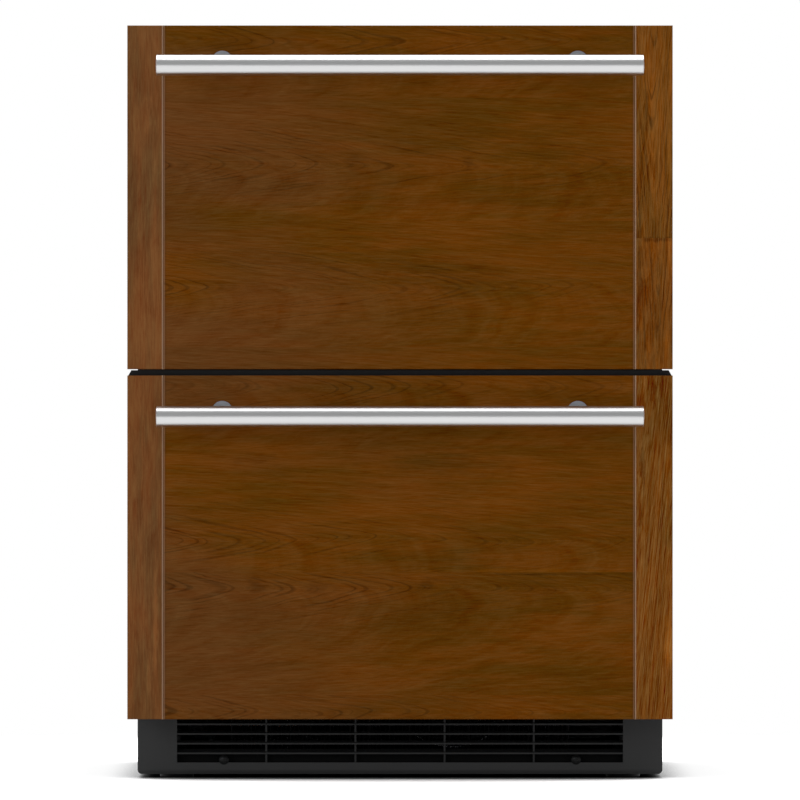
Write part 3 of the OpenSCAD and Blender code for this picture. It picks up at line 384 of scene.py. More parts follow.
@dataclass(frozen=True)
class Timber(Finish):
    """Stained, varnished cherry veneer.

    Growth lines cross the board as nested arches: pointed near the middle of a leaf, and
    nearly along the grain at its edges. The slope's sign sets which way they point.
    """

    grain: Grain
    pale: Colour
    deep: Colour
    leaves: tuple[Leaf, ...]
    marks: tuple[Mark, ...] = ()
    # Colour and share of a painted reflection: a cool sheen of the left lamp, mixed into the wood
    # towards the left side.
    painted_sheen: Colour = (0.112, 0.042, 0.0120)
    painted_sheen_share: float = 0.70
    dust: Colour = (0.110, 0.088, 0.032)
    figure: float = 1.0
    streaks: float = 1.0
    thin: float = 1.0
    blotches: float = 1.0
    slope: float = 0.24
    pitch: float = 0.0078
    tip: float = 0.004
    bend: float = 8.0
    tilt: float = 0.0
    wander: float = 0.020
    fray: float = 0.0035
    ring_tone: float = 0.55
    line_tone: float = 0.30
    cloud_tone: float = 0.25
    least_tone: float = 0.25
    hue_share: float = 0.60
    cloud_share: float = 0.75
    groove: float = 0.2628
    groove_shift: float = 0.0011
    # Strength of the groove's painted shadow, and colours of its faint and bright painted
    # highlights.
    groove_painted_shadow: float = 0.16
    painted_glow: Colour = (0.230, 0.130, 0.075)
    painted_highlight: Colour = (0.360, 0.230, 0.150)

    def paint(self, s: Shader) -> None:
        """Adds the nodes of the wood.

        Args:
            s: the shader.
        """
        x, y, z = s.place()
        along, over = (x, z) if self.grain is Grain.ACROSS else (z, x)
        over = over + along * self.tilt
        centre, shift, seed = self._leaf(s, z)
        drift = s.woven(DRIFT, along, over, seed)
        ragged = s.woven(RAGGED, along, over, seed)
        rise = over - centre + (drift - 0.5) * self.wander + (ragged - 0.5) * self.fray
        arch = (rise * rise + self.tip ** 2).root() + rise * rise * self.bend
        flow = arch + (along + shift) * self.slope
        cloud = s.woven(CLOUD, along, over, seed)

        tone = 1.0 + (cloud - 0.5) * self.cloud_tone * self.blotches
        tone = tone + self._growth(s, along, rise, flow / self.pitch, seed) * self.figure
        for mark in self.marks:
            tone = tone * self._mark(mark, x, z, ragged)

        hue = s.woven(HUE, along, over, seed)
        share = 0.5 + (hue - 0.5) * self.hue_share
        share = share + (cloud - 0.5) * self.blotches * self.cloud_share
        stain = s.mix(share.rise(0.32, 0.68), self.deep, self.pale)
        # Painted reflection: towards the left the colour is mixed, in patches, with a cool sheen of
        # the left lamp.
        sheen_patch = s.woven(SHEEN_PATCH, along, over, 4.0)
        sheen_and_mottle = x.rise(0.16, -0.30) * sheen_patch.rise(0.30, 0.62) * self.painted_sheen_share
        colour = s.brightened(s.mix(sheen_and_mottle, stain, self.painted_sheen), tone.at_least(self.least_tone))

        fibre = s.woven(FIBRE, along, over * self.thin, y)
        thread = s.woven(THREAD, along, (over * 260.0 + flow * 190.0) * self.thin, seed)
        pores = s.woven(PORES, along, over, y)
        grit = ((fibre - 0.5) * 0.42 + (thread - 0.5) * 0.32) * self.streaks
        grit = grit - pores.rise(0.60, 0.72) * 0.05
        colour = s.summed(colour, s.brightened(self.dust, grit))
        # Painted highlights and painted shadow in the groove.
        colour = self._groove_light_and_shade(s, colour, self.groove - (x + self.groove_shift).size())
        s.set(Base_Color=colour, Roughness=0.46 + (fibre - 0.5) * 0.20, Specular_IOR_Level=0.02)
        s.bump(fibre * 0.6 + pores * 0.4, 0.00008, 0.35)

    def _growth(self, s: Shader, along: Value, rise: Value, age: Value, seed: Value) -> Value:
        """Growth rings, with dark lines of late wood near the middle of each leaf.

        Args:
            s: the shader.
            along: the place along the grain.
            rise: how far a point lies over the middle of its leaf.
            age: the place across the growth lines, in lines.
            seed: the seed of the leaf.

        Returns:
            What they add to the wood's tone.
        """
        jitter = s.woven(JITTER, age, along, seed)
        swell = s.woven(SWELL, age, along, seed)
        rings = s.woven(RINGS, age, along, seed)
        wave = ((age + (jitter - 0.5) * 2.2) * math.tau).sine()
        near = rise.size().rise(0.060, 0.006) * 0.8 + 0.2
        leftward = along.rise(0.16, -0.02) * 0.4 + 0.6
        line = wave.rise(0.45, 1.0) * swell.rise(0.40, 0.62) * near * leftward
        return (rings - 0.5) * self.ring_tone - line * self.line_tone

    def _groove_light_and_shade(self, s: Shader, colour: object, inward: Value) -> bpy.types.NodeSocket:
        """Paints light and shade into the groove between the stile and the field: a painted shadow
        on the field's side, a faint painted highlight over its bevels and a bright painted
        highlight along its edge.

        Args:
            s: the shader.
            colour: the wood's colour.
            inward: how far a point lies from the groove's outer edge, towards the field.

        Returns:
            The colour with the groove.
        """
        # Painted shadow on the field's side of the groove.
        painted_shadow = inward.rise(0.0024, 0.0030) * inward.rise(0.0044, 0.0038)
        colour = s.brightened(colour, 1.0 - painted_shadow * self.groove_painted_shadow)
        # Painted highlights: a faint glow over the bevels and a bright line along the edge.
        painted_glow = inward.rise(-0.0003, 0.0005) * inward.rise(0.0032, 0.0022)
        colour = s.mix(painted_glow * 0.45, colour, self.painted_glow)
        return s.mix(inward.size().rise(0.0009, 0.0004) * 0.95, colour, self.painted_highlight)

    def _leaf(self, s: Shader, z: Value) -> tuple[Value, Value, Value]:
        """Reads which leaf a height is in.

        Args:
            s: the shader.
            z: the height.

        Returns:
            The leaf's centre, shift and seed.
        """
        half = 0.5
        stops = [(leaf.low, (leaf.centre + half, leaf.shift + half, leaf.seed))
                 for leaf in self.leaves]
        ramp = s.node("ShaderNodeValToRGB", {"stops": stops, "steps": "CONSTANT"}, {0: z})
        found = s.node("ShaderNodeSeparateColor", None, {0: ramp})
        centre, shift, seed = s.values(found, 0, 1, 2)
        return centre - half, shift - half, seed

    def _mark(self, mark: Mark, x: Value, z: Value, fine: Value) -> Value:
        """How much a mark darkens or brightens each point.

        Args:
            mark: the mark.
            x: the place across the front.
            z: the height.
            fine: noise that roughens the mark's edge.

        Returns:
            The factor on the wood's tone.
        """
        across = (x - mark.x) / mark.half_x
        up = (z - mark.z) / mark.half_z
        reach = (across * across + up * up).root() + (fine - 0.5) * 2.2
        return 1.0 + reach.rise(1.0, 0.1) * mark.tone


@dataclass(frozen=True)
class Brushed(Finish):
    """Brushed stainless steel, with the lines along X."""

    colour: Colour = (0.80, 0.80, 0.80)
    rough: float = 0.30

    def paint(self, s: Shader) -> None:
        """Adds the nodes of the steel.

        Args:
            s: the shader.
        """
        lines = s.woven(BRUSHING, *s.place())
        smear = s.woven(SMEAR, *s.place())
        shade = 0.97 + (lines - 0.5) * 0.10 + (smear - 0.5) * 0.05
        s.set(Base_Color=s.brightened(self.colour, shade), Metallic=1.0,
              Roughness=self.rough + (lines - 0.5) * 0.10)
        s.bump(lines, 0.00002, 0.25)


@dataclass(frozen=True)
class Painted(Finish):
    """Sheet metal or moulding with an even coat that has a fine texture."""

    colour: Colour
    rough: float = 0.45
    metallic: float = 0.0
    cells: float = 900.0
    depth: float = 0.00004
    mottle: float = 0.08
    specular: float = 0.5

    def paint(self, s: Shader) -> None:
        """Adds the nodes of the coat.

        Args:
            s: the shader.
        """
        skin = s.noise(s.place(), self.cells)
        cloud = s.noise(s.place(), 9.0, 3.0, 0.55)
        shade = 1.0 + (cloud - 0.5) * self.mottle * 2.0 + (skin - 0.5) * self.mottle
        s.set(Base_Color=s.brightened(self.colour, shade), Metallic=self.metallic,
              Roughness=self.rough + (cloud - 0.5) * 0.08, Specular_IOR_Level=self.specular)
        s.bump(skin, self.depth, 0.5)


@dataclass(frozen=True)
class Zinc(Finish):
    """Zinc-coated sheet with a crystal pattern."""

    colour: Colour
    rough: float
    cells: float

    def paint(self, s: Shader) -> None:
        """Adds the nodes of the coat.

        Args:
            s: the shader.
        """
        inputs = {"Vector": s.point(*s.place()), "Scale": self.cells}
        grains = s.node("ShaderNodeTexVoronoi", None, inputs).outputs["Color"]
        crystal, = s.values(s.node("ShaderNodeSeparateColor", None, {0: grains}), 0)
        drawn = s.woven(DRAWN, *s.place())
        shade = 0.97 + crystal * 0.05 + (drawn - 0.5) * 0.04
        s.set(Base_Color=s.brightened(self.colour, shade), Metallic=0.9,
              Roughness=self.rough + (crystal - 0.5) * 0.05)
        s.bump(drawn, 0.00002, 0.3)


@dataclass(frozen=True)
class Glassy(Finish):
    """Hard glossy cover, dark or clear-white."""

    colour: Colour
    rough: float = 0.08
    coat: float = 0.6

    def paint(self, s: Shader) -> None:
        """Adds the nodes of the cover.

        Args:
            s: the shader.
        """
        sheen_and_mottle = s.noise(s.place(), 60.0)
        s.set(Base_Color=s.brightened(self.colour, 0.95 + (sheen_and_mottle - 0.5) * 0.15),
              Roughness=self.rough + (sheen_and_mottle - 0.5) * 0.04, Coat_Weight=self.coat,
              Coat_Roughness=0.05)


LEAVES = (
    Leaf(0.000, 0.076, 0.300, 0.11),
    Leaf(0.091, 0.214, 0.180, 0.27),
    Leaf(0.228, 0.267, 0.100, 0.43),
    Leaf(0.365, 0.437, 0.240, 0.58),
    Leaf(0.455, 0.410, 0.260, 0.35),
    Leaf(0.480, 0.548, 0.140, 0.71),
    Leaf(0.618, 0.686, 0.160, 0.86),
    Leaf(0.757, 0.822, 0.170, 0.64),
)
FIELD_MARKS = (
    Mark(0.028, 0.216, 0.014, 0.007, -0.24),
    Mark(-0.160, 0.216, 0.016, 0.010, -0.24),
    Mark(-0.093, 0.214, 0.020, 0.012, -0.16),
    Mark(0.130, 0.2320, 0.140, 0.0030, 0.20),
    Mark(0.170, 0.2280, 0.120, 0.0020, -0.26),
    Mark(-0.163, 0.356, 0.035, 0.010, -0.14),
    Mark(0.060, 0.350, 0.110, 0.020, -0.12),
    Mark(-0.052, 0.685, 0.020, 0.012, -0.22),
    Mark(0.076, 0.684, 0.008, 0.010, -0.18),
    Mark(-0.100, 0.553, 0.050, 0.012, -0.08),
    Mark(0.060, 0.560, 0.140, 0.030, -0.07),
    Mark(0.040, 0.640, 0.160, 0.012, -0.07),
)
RIGHT_MARKS = (
    Mark(0.2860, 0.6000, 0.0300, 0.0040, -0.40),
    Mark(0.2740, 0.7400, 0.0040, 0.0300, -0.36),
    Mark(0.2790, 0.7300, 0.0030, 0.0140, -0.40),
    Mark(0.2990, 0.6600, 0.0030, 0.1600, 0.35),
    Mark(0.2655, 0.5450, 0.0050, 0.0600, -0.24),
    Mark(0.2860, 0.5050, 0.0120, 0.0300, -0.12),
    Mark(0.2960, 0.5000, 0.0040, 0.0500, 0.25),
    Mark(0.2820, 0.5200, 0.0700, 0.1000, -0.26),
    Mark(0.2860, 0.7200, 0.0700, 0.1500, 0.12),
)
LOWER_RIGHT_MARKS = (
    Mark(0.2985, 0.1500, 0.0060, 0.0350, 0.40),
    Mark(0.2980, 0.3300, 0.0050, 0.1200, 0.20),
    Mark(0.2700, 0.3450, 0.0050, 0.0300, -0.25),
)
LEFT_MARKS = (
    Mark(-0.2790, 0.735, 0.0060, 0.0400, 0.22),
    Mark(-0.2740, 0.620, 0.0060, 0.0900, 0.14),
    Mark(-0.2960, 0.650, 0.0080, 0.0600, -0.08),
)
LOWER_LEFT_MARKS = (
    Mark(-0.2720, 0.180, 0.0035, 0.0900, 0.30),
    Mark(-0.2790, 0.110, 0.0040, 0.0300, 0.20),
    Mark(-0.2920, 0.330, 0.0100, 0.0800, -0.08),
)

WOOD_FIELD = Timber(
    "field_cherry", Grain.ACROSS, (0.144, 0.0426, 0.0030), (0.097, 0.0346, 0.0008), LEAVES,
    FIELD_MARKS, figure=1.05, streaks=1.35, blotches=0.80, pitch=0.0048)
# The left stiles are greyer and bluer than the right: the wood's own tone together with a painted
# sheen of the left lamp, which stands in for the mixed-in sheen that they leave off.
LEFT_PALE_AND_SHEEN, LEFT_DEEP_AND_SHEEN = (0.168, 0.060, 0.0168), (0.122, 0.053, 0.0165)
RIGHT_PALE, RIGHT_DEEP = (0.204, 0.066, 0.0085), (0.124, 0.047, 0.0055)
UPPER_LEFT_WOOD = Timber(
    "upper_left_cherry", Grain.UPRIGHT, LEFT_PALE_AND_SHEEN, LEFT_DEEP_AND_SHEEN, (Leaf(0.0, -0.250, 0.0, 0.31),),
    LEFT_MARKS, figure=0.4, streaks=2.0, blotches=0.8, slope=0.03, painted_sheen_share=0.0)
LOWER_LEFT_WOOD = Timber(
    "lower_left_cherry", Grain.UPRIGHT, LEFT_PALE_AND_SHEEN, LEFT_DEEP_AND_SHEEN, (Leaf(0.0, -0.230, 0.2, 0.52),),
    LOWER_LEFT_MARKS, figure=0.4, streaks=2.0, blotches=0.8, slope=0.02, painted_sheen_share=0.0)
UPPER_RIGHT_WOOD = Timber(
    "upper_right_cherry", Grain.UPRIGHT, RIGHT_PALE, RIGHT_DEEP,
    (Leaf(0.0, 0.2860, 0.0, 0.77), Leaf(0.600, 0.2815, 0.0, 0.33)), RIGHT_MARKS,
    figure=2.2, streaks=3.6, thin=2.0, blotches=1.2, slope=-0.09, pitch=0.0042, tip=0.003, bend=2.0)
LOWER_RIGHT_WOOD = Timber(
    "lower_right_cherry", Grain.UPRIGHT, RIGHT_PALE, RIGHT_DEEP, (Leaf(0.0, 0.250, 0.2, 0.19),),
    LOWER_RIGHT_MARKS, figure=1.0, streaks=7.0, thin=2.2, blotches=0.7, slope=0.02, tilt=-0.10)
HANDLE_STEEL = Brushed("brushed_steel")
# The handle's steel made darker for the posts: painted shade of the bar that hangs in front of
# them.
SHADED_POST_STEEL = Brushed("post_steel_painted_shade", (0.36, 0.37, 0.40), 0.34)
SLIDE_STEEL = Zinc("slide_zinc", (0.60, 0.60, 0.61), 0.30, 260.0)
PLATED = Zinc("plated_steel", (0.56, 0.57, 0.58), 0.34, 300.0)
# Black paint made darker and duller than the other black paints: painted shade behind the grille on
# the base pan.
BASE_SHADE_BLACK = Painted("base_pan_shade_black", (0.003, 0.003, 0.003), 0.70, specular=0.06)
CABINET_BLACK = Painted("cabinet_black", (0.018, 0.018, 0.019), 0.42)
DOOR_BLACK = Painted("door_black", (0.008, 0.007, 0.007), 0.42, specular=0.35)
KICK_BLACK = Painted("kick_plate_black", (0.024, 0.024, 0.024), 0.55, cells=1500.0, specular=0.35)
GRILLE_BLACK = Painted("grille_black", (0.012, 0.012, 0.012), 0.50, specular=0.35)
SCREW_BLACK = Painted("screw_black", (0.004, 0.004, 0.004), 0.40, specular=0.25)
BACK_GREY = Painted("back_panel_grey", (0.32, 0.33, 0.34), 0.45, 0.3, cells=400.0)
COVER_GREY = Painted("machine_cover_grey", (0.26, 0.27, 0.28), 0.42, 0.4, cells=400.0)
LINER_WHITE = Painted("liner_white", (0.74, 0.75, 0.74), 0.42, cells=700.0, mottle=0.03)
BIN_WHITE = Painted("bin_white", (0.70, 0.71, 0.71), 0.32, cells=900.0, mottle=0.03)
FOAM_CREAM = Painted("insulation_foam", (0.62, 0.52, 0.30), 0.85, cells=350.0, depth=0.0004,
                     mottle=0.15)
RUBBER_GREY = Painted("gasket_rubber", (0.10, 0.10, 0.105), 0.62, cells=1500.0)
RUBBER_BLACK = Painted("black_rubber", (0.020, 0.020, 0.020), 0.70, cells=1200.0)
PUMP_BLACK = Painted("compressor_black", (0.013, 0.013, 0.014), 0.28, cells=500.0)
# The condenser's black paint, made very dark and dull so that it also paints the shade behind the
# grille.
COIL_SHADE_BLACK = Painted("condenser_shade_black", (0.006, 0.006, 0.006), 0.50, cells=500.0, specular=0.15)
FAN_BLACK = Painted("fan_black", (0.020, 0.020, 0.021), 0.48)
HOUSING_GREY = Painted("fan_housing_grey", (0.075, 0.078, 0.082), 0.50)
CONTROL_BLACK = Painted("control_black", (0.022, 0.022, 0.024), 0.40, cells=1600.0)
KEY_GREY = Painted("key_grey", (0.20, 0.205, 0.21), 0.42, cells=1600.0)
COIL_METAL = Zinc("coil_aluminium", (0.66, 0.67, 0.68), 0.34, 600.0)
COPPER = Painted("copper_tube", (0.55, 0.22, 0.10), 0.30, 1.0, cells=200.0, mottle=0.2)
DISPLAY_GLOSS = Glassy("display_window", (0.012, 0.014, 0.018))
ZINC_SCREW = Zinc("screw_zinc", (0.50, 0.51, 0.52), 0.32, 400.0)
LEG_BLACK = Painted("leg_black", (0.010, 0.010, 0.011), 0.50, cells=800.0, specular=0.3)
MARK_WHITE = Painted("key_mark_white", (0.55, 0.56, 0.56), 0.45, cells=2000.0)
LENS_WHITE = Glassy("light_lens", (0.78, 0.79, 0.78), 0.25, 0.3)


class Paintbox:
    """Makes each finish once and puts it on objects."""

    def __init__(self) -> None:
        """Starts with no material made."""
        self.made: dict[str, bpy.types.Material] = {}

    def material(self, finish: Finish) -> bpy.types.Material:
        """Looks up the material of a finish, and makes it the first time.

        Args:
            finish: the finish.

        Returns:
            Its material.
        """
        if finish.name not in self.made:
            self.made[finish.name] = finish.build()
        return self.made[finish.name]

    def dress(self, finish: Finish, *nodes: str) -> None:
        """Gives CAD nodes a finish.

        Args:
            finish: the finish.
            nodes: the nodes' names.
        """
        for name in nodes:
            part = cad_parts[name]
            for place in part.material_slots:
                place.material = self.material(finish)
            LOG.info("dressed %s in %s", name, finish.name)


PAINT = Paintbox()


# ------------------------------------------------------------------ mesh building


def rounded(path: Sequence[Point], radius: float, steps: int = 6) -> list[Vector]:
    """A path with an arc in place of each corner.

    Args:
        path: the corners.
        radius: the bend's radius.
        steps: the pieces of each arc.

    Returns:
        The points of the bent path.
    """
    corners = [Vector(corner) for corner in path]
    points = [corners[0]]
    for before, corner, after in zip(corners, corners[1:], corners[2:]):
        into = (corner - before).normalized()
        out = (after - corner).normalized()
        turn = into.angle(out)
        start = corner - into * radius * math.tan(turn / 2)
        inward = (out - into * into.dot(out)).normalized()
        for step in range(steps + 1):
            angle = turn * step / steps
            points.append(start + into * radius * math.sin(angle)
                          + inward * radius * (1 - math.cos(angle)))
    return points + [corners[-1]]


def circle(radius: float, sides: int) -> list[Flat]:
    """The points of a circle round the origin."""
    angles = [math.tau * i / sides for i in range(sides)]
    return [(radius * math.cos(a), radius * math.sin(a)) for a in angles]


def oblong(x0: float, x1: float, y0: float, y1: float, radius: float,
           steps: int = 4) -> list[Flat]:
    """The outline of a rectangle with rounded corners.

    Args:
        x0: the left side's place.
        x1: the right side's place.
        y0: the lower side's place.
        y1: the upper side's place.
        radius: the radius of its corners.
        steps: the pieces of each arc.

    Returns:
        The points of the outline, anticlockwise.
    """
    points = []
    for quarter, (x, y) in enumerate(((x1, y1), (x0, y1), (x0, y0), (x1, y0))):
        centre_x = x - math.copysign(radius, x - (x0 + x1) / 2)
        centre_y = y - math.copysign(radius, y - (y0 + y1) / 2)
        for step in range(steps + 1):
            angle = (quarter + step / steps) * math.pi / 2
            points.append((centre_x + radius * math.cos(angle),
                           centre_y + radius * math.sin(angle)))
    return points


def square_to(axis: Point) -> tuple[Vector, Vector, Vector]:
    """Works out the frame of an axis.

    Args:
        axis: the axis, of any length.

    Returns:
        Its direction, and two directions square to it and to each other.
    """
    up = Vector(axis).normalized()
    across = up.orthogonal().normalized()
    return up, across, up.cross(across)


class Form:
    """A mesh in the making, in metres."""

    def __init__(self) -> None:
        """Starts with no faces."""
        self.mesh = bmesh.new()

    def ring(self, points: Iterable[Vector]) -> list[bmesh.types.BMVert]:
        """Adds points that later form a ring."""
        return [self.mesh.verts.new(point) for point in points]

    def skin(self, rings: Sequence[list[bmesh.types.BMVert]], capped: bool = True) -> None:
        """Covers the gaps between rings.

        Args:
            rings: rings with the same number of points.
            capped: whether the first and last ring are closed too.
        """
        for first, second in zip(rings, rings[1:]):
            for i in range(len(first)):
                j = (i + 1) % len(first)
                self.mesh.faces.new((first[i], first[j], second[j], second[i]))
        if capped:
            self.mesh.faces.new(list(reversed(rings[0])))
            self.mesh.faces.new(rings[-1])

    def tube(self, path: Sequence[Vector], radius: float, sides: int = 10) -> "Form":
        """Adds a round tube with closed ends.

        Args:
            path: its centre line.
            radius: its outer radius.
            sides: the sides of its section.

        Returns:
            The form itself.
        """
        line = [Vector(point) for point in path]
        heading = (line[1] - line[0]).normalized()
        across = heading.orthogonal().normalized()
        rings = []
        for i, point in enumerate(line):
            ahead = (line[min(i + 1, len(line) - 1)] - line[max(i - 1, 0)]).normalized()
            across = (across - ahead * across.dot(ahead)).normalized()
            up = ahead.cross(across)
            rings.append(self.ring(point + across * a + up * b for a, b in circle(radius, sides)))
        self.skin(rings)
        return self

    def turned(self, profile: Sequence[Flat], at: Point, axis: Point,
               sides: int = 24) -> "Form":
        """Adds a turned solid.

        Args:
            profile: its (radius, height) points from the bottom up, no radius zero.
            at: the bottom's centre.
            axis: the way up.
            sides: the sides of its section.

        Returns:
            The form itself.
        """
        up, across, other = square_to(axis)
        base = Vector(at)
        self.skin([self.ring(base + up * h + across * a + other * b for a, b in circle(r, sides))
                    for r, h in profile])
        return self

    def plate(self, outline: Sequence[Flat], holes: Sequence[Sequence[Flat]], at: Point,
              across: Point, up: Point, thick: float) -> "Form":
        """Adds a flat plate with holes.

        Args:
            outline: its outer edge, in the plane of across and up.
            holes: the edges of its holes.
            at: where the plane's origin lies.
            across: the plane's first direction.
            up: the plane's second direction.
            thick: how far it reaches along across x up.

        Returns:
            The form itself.
        """
        base, a, b = Vector(at), Vector(across).normalized(), Vector(up).normalized()
        edges = []
        for loop in (outline, *holes):
            ring = self.ring(base + a * u + b * v for u, v in loop)
            edges += [self.mesh.edges.new((ring[i], ring[(i + 1) % len(ring)]))
                      for i in range(len(ring))]
        filled = bmesh.ops.triangle_fill(self.mesh, use_beauty=True, use_dissolve=False,
                                         edges=edges)
        faces = [face for face in filled["geom"] if isinstance(face, bmesh.types.BMFace)]
        grown = bmesh.ops.extrude_face_region(self.mesh, geom=faces)
        moved = [v for v in grown["geom"] if isinstance(v, bmesh.types.BMVert)]
        bmesh.ops.translate(self.mesh, verts=moved, vec=a.cross(b) * thick)
        return self

    def sheet(self, line: Sequence[Vector], run: Vector, thick: Vector) -> "Form":
        """Adds a thin folded sheet.

        Args:
            line: the points of its folded edge.
            run: how far that edge is swept.
            thick: its thickness, with the direction.

        Returns:
            The form itself.
        """
        rings = [self.ring((p, p + run, p + run + thick, p + thick)) for p in line]
        self.skin(rings)
        return self

    def piece(self, name: str, finish: Finish, slot: str, body: str, bevel: float = 0.0,
              sharp: float = 35.0) -> bpy.types.Object:
        """Turns the form into a piece of the scene.

        Args:
            name: the piece's name.
            finish: its finish.
            slot: its material slot in the record; not used.
            body: the body that it rides on.
            bevel: the width of a bevel on its sharp edges.
            sharp: edges over this angle stay sharp, in degrees.

        Returns:
            The piece.
        """
        bmesh.ops.remove_doubles(self.mesh, verts=self.mesh.verts, dist=1e-6)
        bmesh.ops.recalc_face_normals(self.mesh, faces=self.mesh.faces)
        if bevel:
            folds = [e for e in self.mesh.edges if len(e.link_faces) == 2
                     and e.calc_face_angle() > math.radians(50)]
            bmesh.ops.bevel(self.mesh, geom=folds, offset=bevel, segments=2, profile=0.5,
                            affect="EDGES", clamp_overlap=True)
        mesh = bpy.data.meshes.new(name)
        self.mesh.to_mesh(mesh)
        self.mesh.free()
        mesh.materials.append(PAINT.material(finish))
        mesh.shade_smooth()
        mesh.set_sharp_from_angle(angle=math.radians(sharp))
        made = bpy.data.objects.new(name, mesh)
        bpy.context.scene.collection.objects.link(made)
        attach(made, body)
        LOG.info("built %s on %s", name, body)
        return made


@dataclass(frozen=True)
class Screw:
    """A pan-head screw with a cross recess; only its head shows."""

    head: float = 0.0075
    rise: float = 0.0017
    blade: float = 0.0011
    reach: float = 0.0044
    depth: float = 0.0011
    taper: float = 0.8
    dome: tuple[Flat, ...] = ((1.0, 0.0), (1.0, 0.35), (0.86, 0.80), (0.68, 1.0))
    sides: int = 24

    def add(self, form: Form, at: Point, axis: Point) -> None:
        """Adds a head to a form.

        Args:
            form: the form.
            at: the middle of the head's seat.
            axis: the way that the head faces.
        """
        up, across, other = square_to(axis)
        base = Vector(at)
        radius = self.head / 2

        def ring(points: Iterable[Flat], height: float) -> list[bmesh.types.BMVert]:
            """Adds a ring of points at a height above the seat."""
            return form.ring(base + across * a + other * b + up * height for a, b in points)

        half, tip = self.blade / 2, self.reach / 2
        arm = [(tip, -half), (tip, half), (half, half)]
        cross = []
        for _ in range(4):
            cross += arm
            arm = [(-v, u) for u, v in arm]
        rims = [ring(circle(radius * wide, self.sides), self.rise * high)
                for wide, high in self.dome]
        form.skin(rims, capped=False)
        form.mesh.faces.new(list(reversed(rims[0])))
        edge = ring(cross, self.rise)
        low = ring([(u * self.taper, v * self.taper) for u, v in cross], self.rise - self.depth)
        form.skin([edge, low], capped=False)
        form.mesh.faces.new(low)
        loops = [form.mesh.edges.get((loop[i], loop[(i + 1) % len(loop)]))
                 for loop in (rims[-1], edge) for i in range(len(loop))]
        bmesh.ops.triangle_fill(form.mesh, use_beauty=True, use_dissolve=False, edges=loops)


# ------------------------------------------------------------------ sub-assemblies


SCREW = Screw()
BACKWARDS: Point = (0.0, 1.0, 0.0)
FORWARDS: Point = (0.0, -1.0, 0.0)
UPWARDS: Point = (0.0, 0.0, 1.0)
RIGHTWARDS: Point = (1.0, 0.0, 0.0)


@dataclass
class SubAssembly:
    """Nodes of the part that belong together, and the small pieces that they carry."""

    def dress(self) -> None:
        """Gives each node its finish."""
        raise NotImplementedError

    def build(self) -> None:
        """Adds the small pieces; a sub-assembly without any has nothing to add."""


